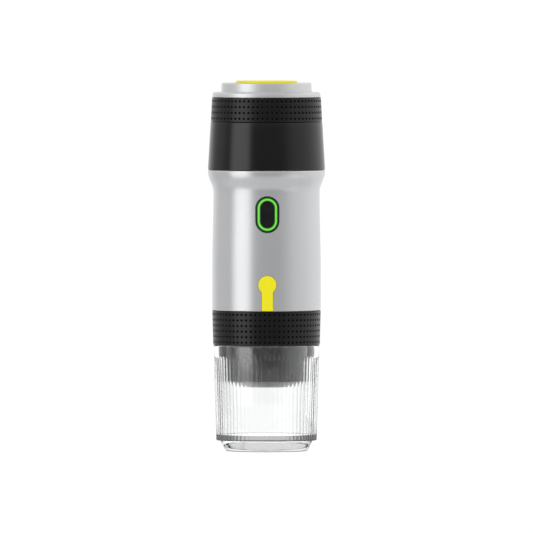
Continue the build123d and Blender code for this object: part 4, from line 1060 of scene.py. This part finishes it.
cap_low, cap_high = heights("lid_cap")
cap_low += 0.2
cap_rim, cap_disc, cap_step, inlay_radius = 33.15, 27.7, 220.5, 18.8
cap_inside, cap_wall, inlay_seat, inlay_gap = cap_rim - 3.2, 1.6, 1.0, 0.12
cap_line = rounded(
    [(cap_inside, cap_low - 0.2, 0), (cap_rim - 1.7, cap_low - 0.2, 0), (cap_rim - 1.7, cap_low, 0)]
    + [(cap_rim, cap_low, 0.15), (cap_rim - 0.06, cap_step - 0.3, 1.1)]
    + [(cap_disc, cap_step + 0.1, 0.25), (cap_disc - 0.12, cap_high, 0.8)]
    + [(inlay_radius + inlay_gap, cap_high, 0.12)]
    + [(inlay_radius + inlay_gap, cap_high - inlay_seat, 0), (0, cap_high - inlay_seat, 0)]
    + [(r, cap_high - inlay_seat - cap_wall, 0) for r in (0, cap_disc - cap_wall)]
    + [(cap_disc - cap_wall, cap_step - cap_wall, 0), (cap_inside, cap_step - cap_wall, 0)]
)
silver_lid = silver_paint("silver_paint_lid", (0.65, 0.655, 0.66), 0.38)
cap = turned("stepped_cap", cap_line, silver_lid)
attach(cap, "water_lid")
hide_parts("lid_cap")

inlay_low, inlay_high = heights("lid_inlay")
inlay_line = rounded(
    [(0, inlay_low, 0), (inlay_radius, inlay_low, 0.1), (inlay_radius, inlay_high - 0.03, 0.5)]
    + [(inlay_radius * 0.7, inlay_high - 0.01, 0), (0, inlay_high, 0)]
)
yellow_plastic = moulded("yellow_inlay", (0.8, 0.72, 0.01), 0.35, relief=0.004, uneven=0.04)
inlay = turned("yellow_cap_disc", inlay_line, yellow_plastic)
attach(inlay, "water_lid")
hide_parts("lid_inlay")


# Studio: white table top and white surroundings. Soft lamps stand at the left, at the right and
# above, and the world has the bright panels that gloss and clear plastic show.
def area_light(name, azimuth, elevation, distance, width, power):
    """A soft panel of light, 0.9 m tall, that faces the object's middle."""
    lamp = bpy.data.lights.new(name, "AREA")
    lamp.shape = "RECTANGLE"
    lamp.size, lamp.size_y = width, 0.9
    lamp.energy = power
    panel = placed(name, lamp)
    aimed(panel, azimuth, elevation, distance)
    panel.visible_camera = panel.visible_glossy = panel.visible_transmission = False


area_light("left_lamp", azimuth=-58, elevation=15, distance=1.1, width=0.5, power=2.6)
area_light("right_lamp", azimuth=75, elevation=20, distance=1.1, width=0.6, power=2.6)
area_light("top_lamp", azimuth=-10, elevation=65, distance=1.2, width=0.9, power=4.0)


class Surroundings(Finish):
    """The world, made node by node as a material is."""

    store, ending = "worlds", "ShaderNodeOutputWorld"

    def passed(self, kind):
        """One for a ray that has bounced in this way, such as Diffuse."""
        depth = self.node("LightPath", {}, out=kind + " Depth")
        return depth.maths("GREATER_THAN", depth, 0.5)


sky = Surroundings("white_studio")
scattered, mirror, through = (sky.passed(kind) for kind in ("Diffuse", "Glossy", "Transmission"))
way = sky.node("TexCoord", {}, out="Generated")
across, away, height = (sky.node("SeparateXYZ", {}, way, out=axis) for axis in "XYZ")
turn = across.maths("ARCTAN2", across, 0 - away)


def panel_between(start, full, fade, end):
    """A soft-edged upright panel of light between two directions, in degrees from the front."""
    rise = turn.between(radians(start), radians(full)) if full > start else 1
    return rise * (1 - turn.between(radians(fade), radians(end)))


left_panel = panel_between(-82, -70, -40, -30) * 1.5
left_far = panel_between(-181, -180, -100, -80) * 0.32
right_near = turn.between(radians(25), radians(65)) * 0.45
right_far = turn.between(radians(60), radians(125)) * 0.35
low_part = 1 - height.between(0.55, 0.85)
right_floor = panel_between(25, 45, 60, 85) * height.between(-0.6, -0.5)
right_floor = right_floor * (1 - height.between(-0.32, -0.2))
high_band = height.between(0.12, 0.4) * (1 - height.between(0.6, 0.85)) * 0.3
behind = away.between(0.55, 0.95)
mirrored = left_panel + left_far + right_near + right_far + right_floor * 0.5
mirrored = mirrored * low_part + high_band + 0.17
mirrored = mirrored * (1 - behind) + behind
mirrored = mirrored * (through * 0.35 + 1) + through * 0.15
clear = mirror * mirrored + (1 - mirror) * 1.02
strength = scattered * 0.78 + (1 - scattered) * clear
world = sky.done(sky.node("Background", {}, (1, 1, 1, 1), strength))
world.cycles.sampling_method = "NONE"
bpy.context.scene.world = world


def table():
    """White table top that stays white to the eye and keeps a faint shadow."""
    finish = Finish("white_table")
    cloud = finish.grain(60.0)
    paint = finish.node("BsdfDiffuse", {}, (0.66, 0.66, 0.66, 1), cloud * 0.1 + 0.6)
    glow = finish.node("Emission", {}, (1, 1, 1, 1), 1.1)
    seen = finish.node("LightPath", {}, out="Is Camera Ray")
    seen = seen.maths("MAXIMUM", seen, finish.node("LightPath", {}, out="Is Transmission Ray"))
    return finish.done(finish.node("MixShader", {}, seen * 0.85, paint, glow))


table_radius = 0.36
top = bmesh.new()
bmesh.ops.create_circle(top, cap_ends=True, segments=96, radius=table_radius)
table_top = placed("table_top", mesh_of("table_top", top))
table_top.data.materials.append(table())
table_top.location.z = -0.1 * mm


# Picture
bpy.context.scene.view_settings.view_transform = "Standard"
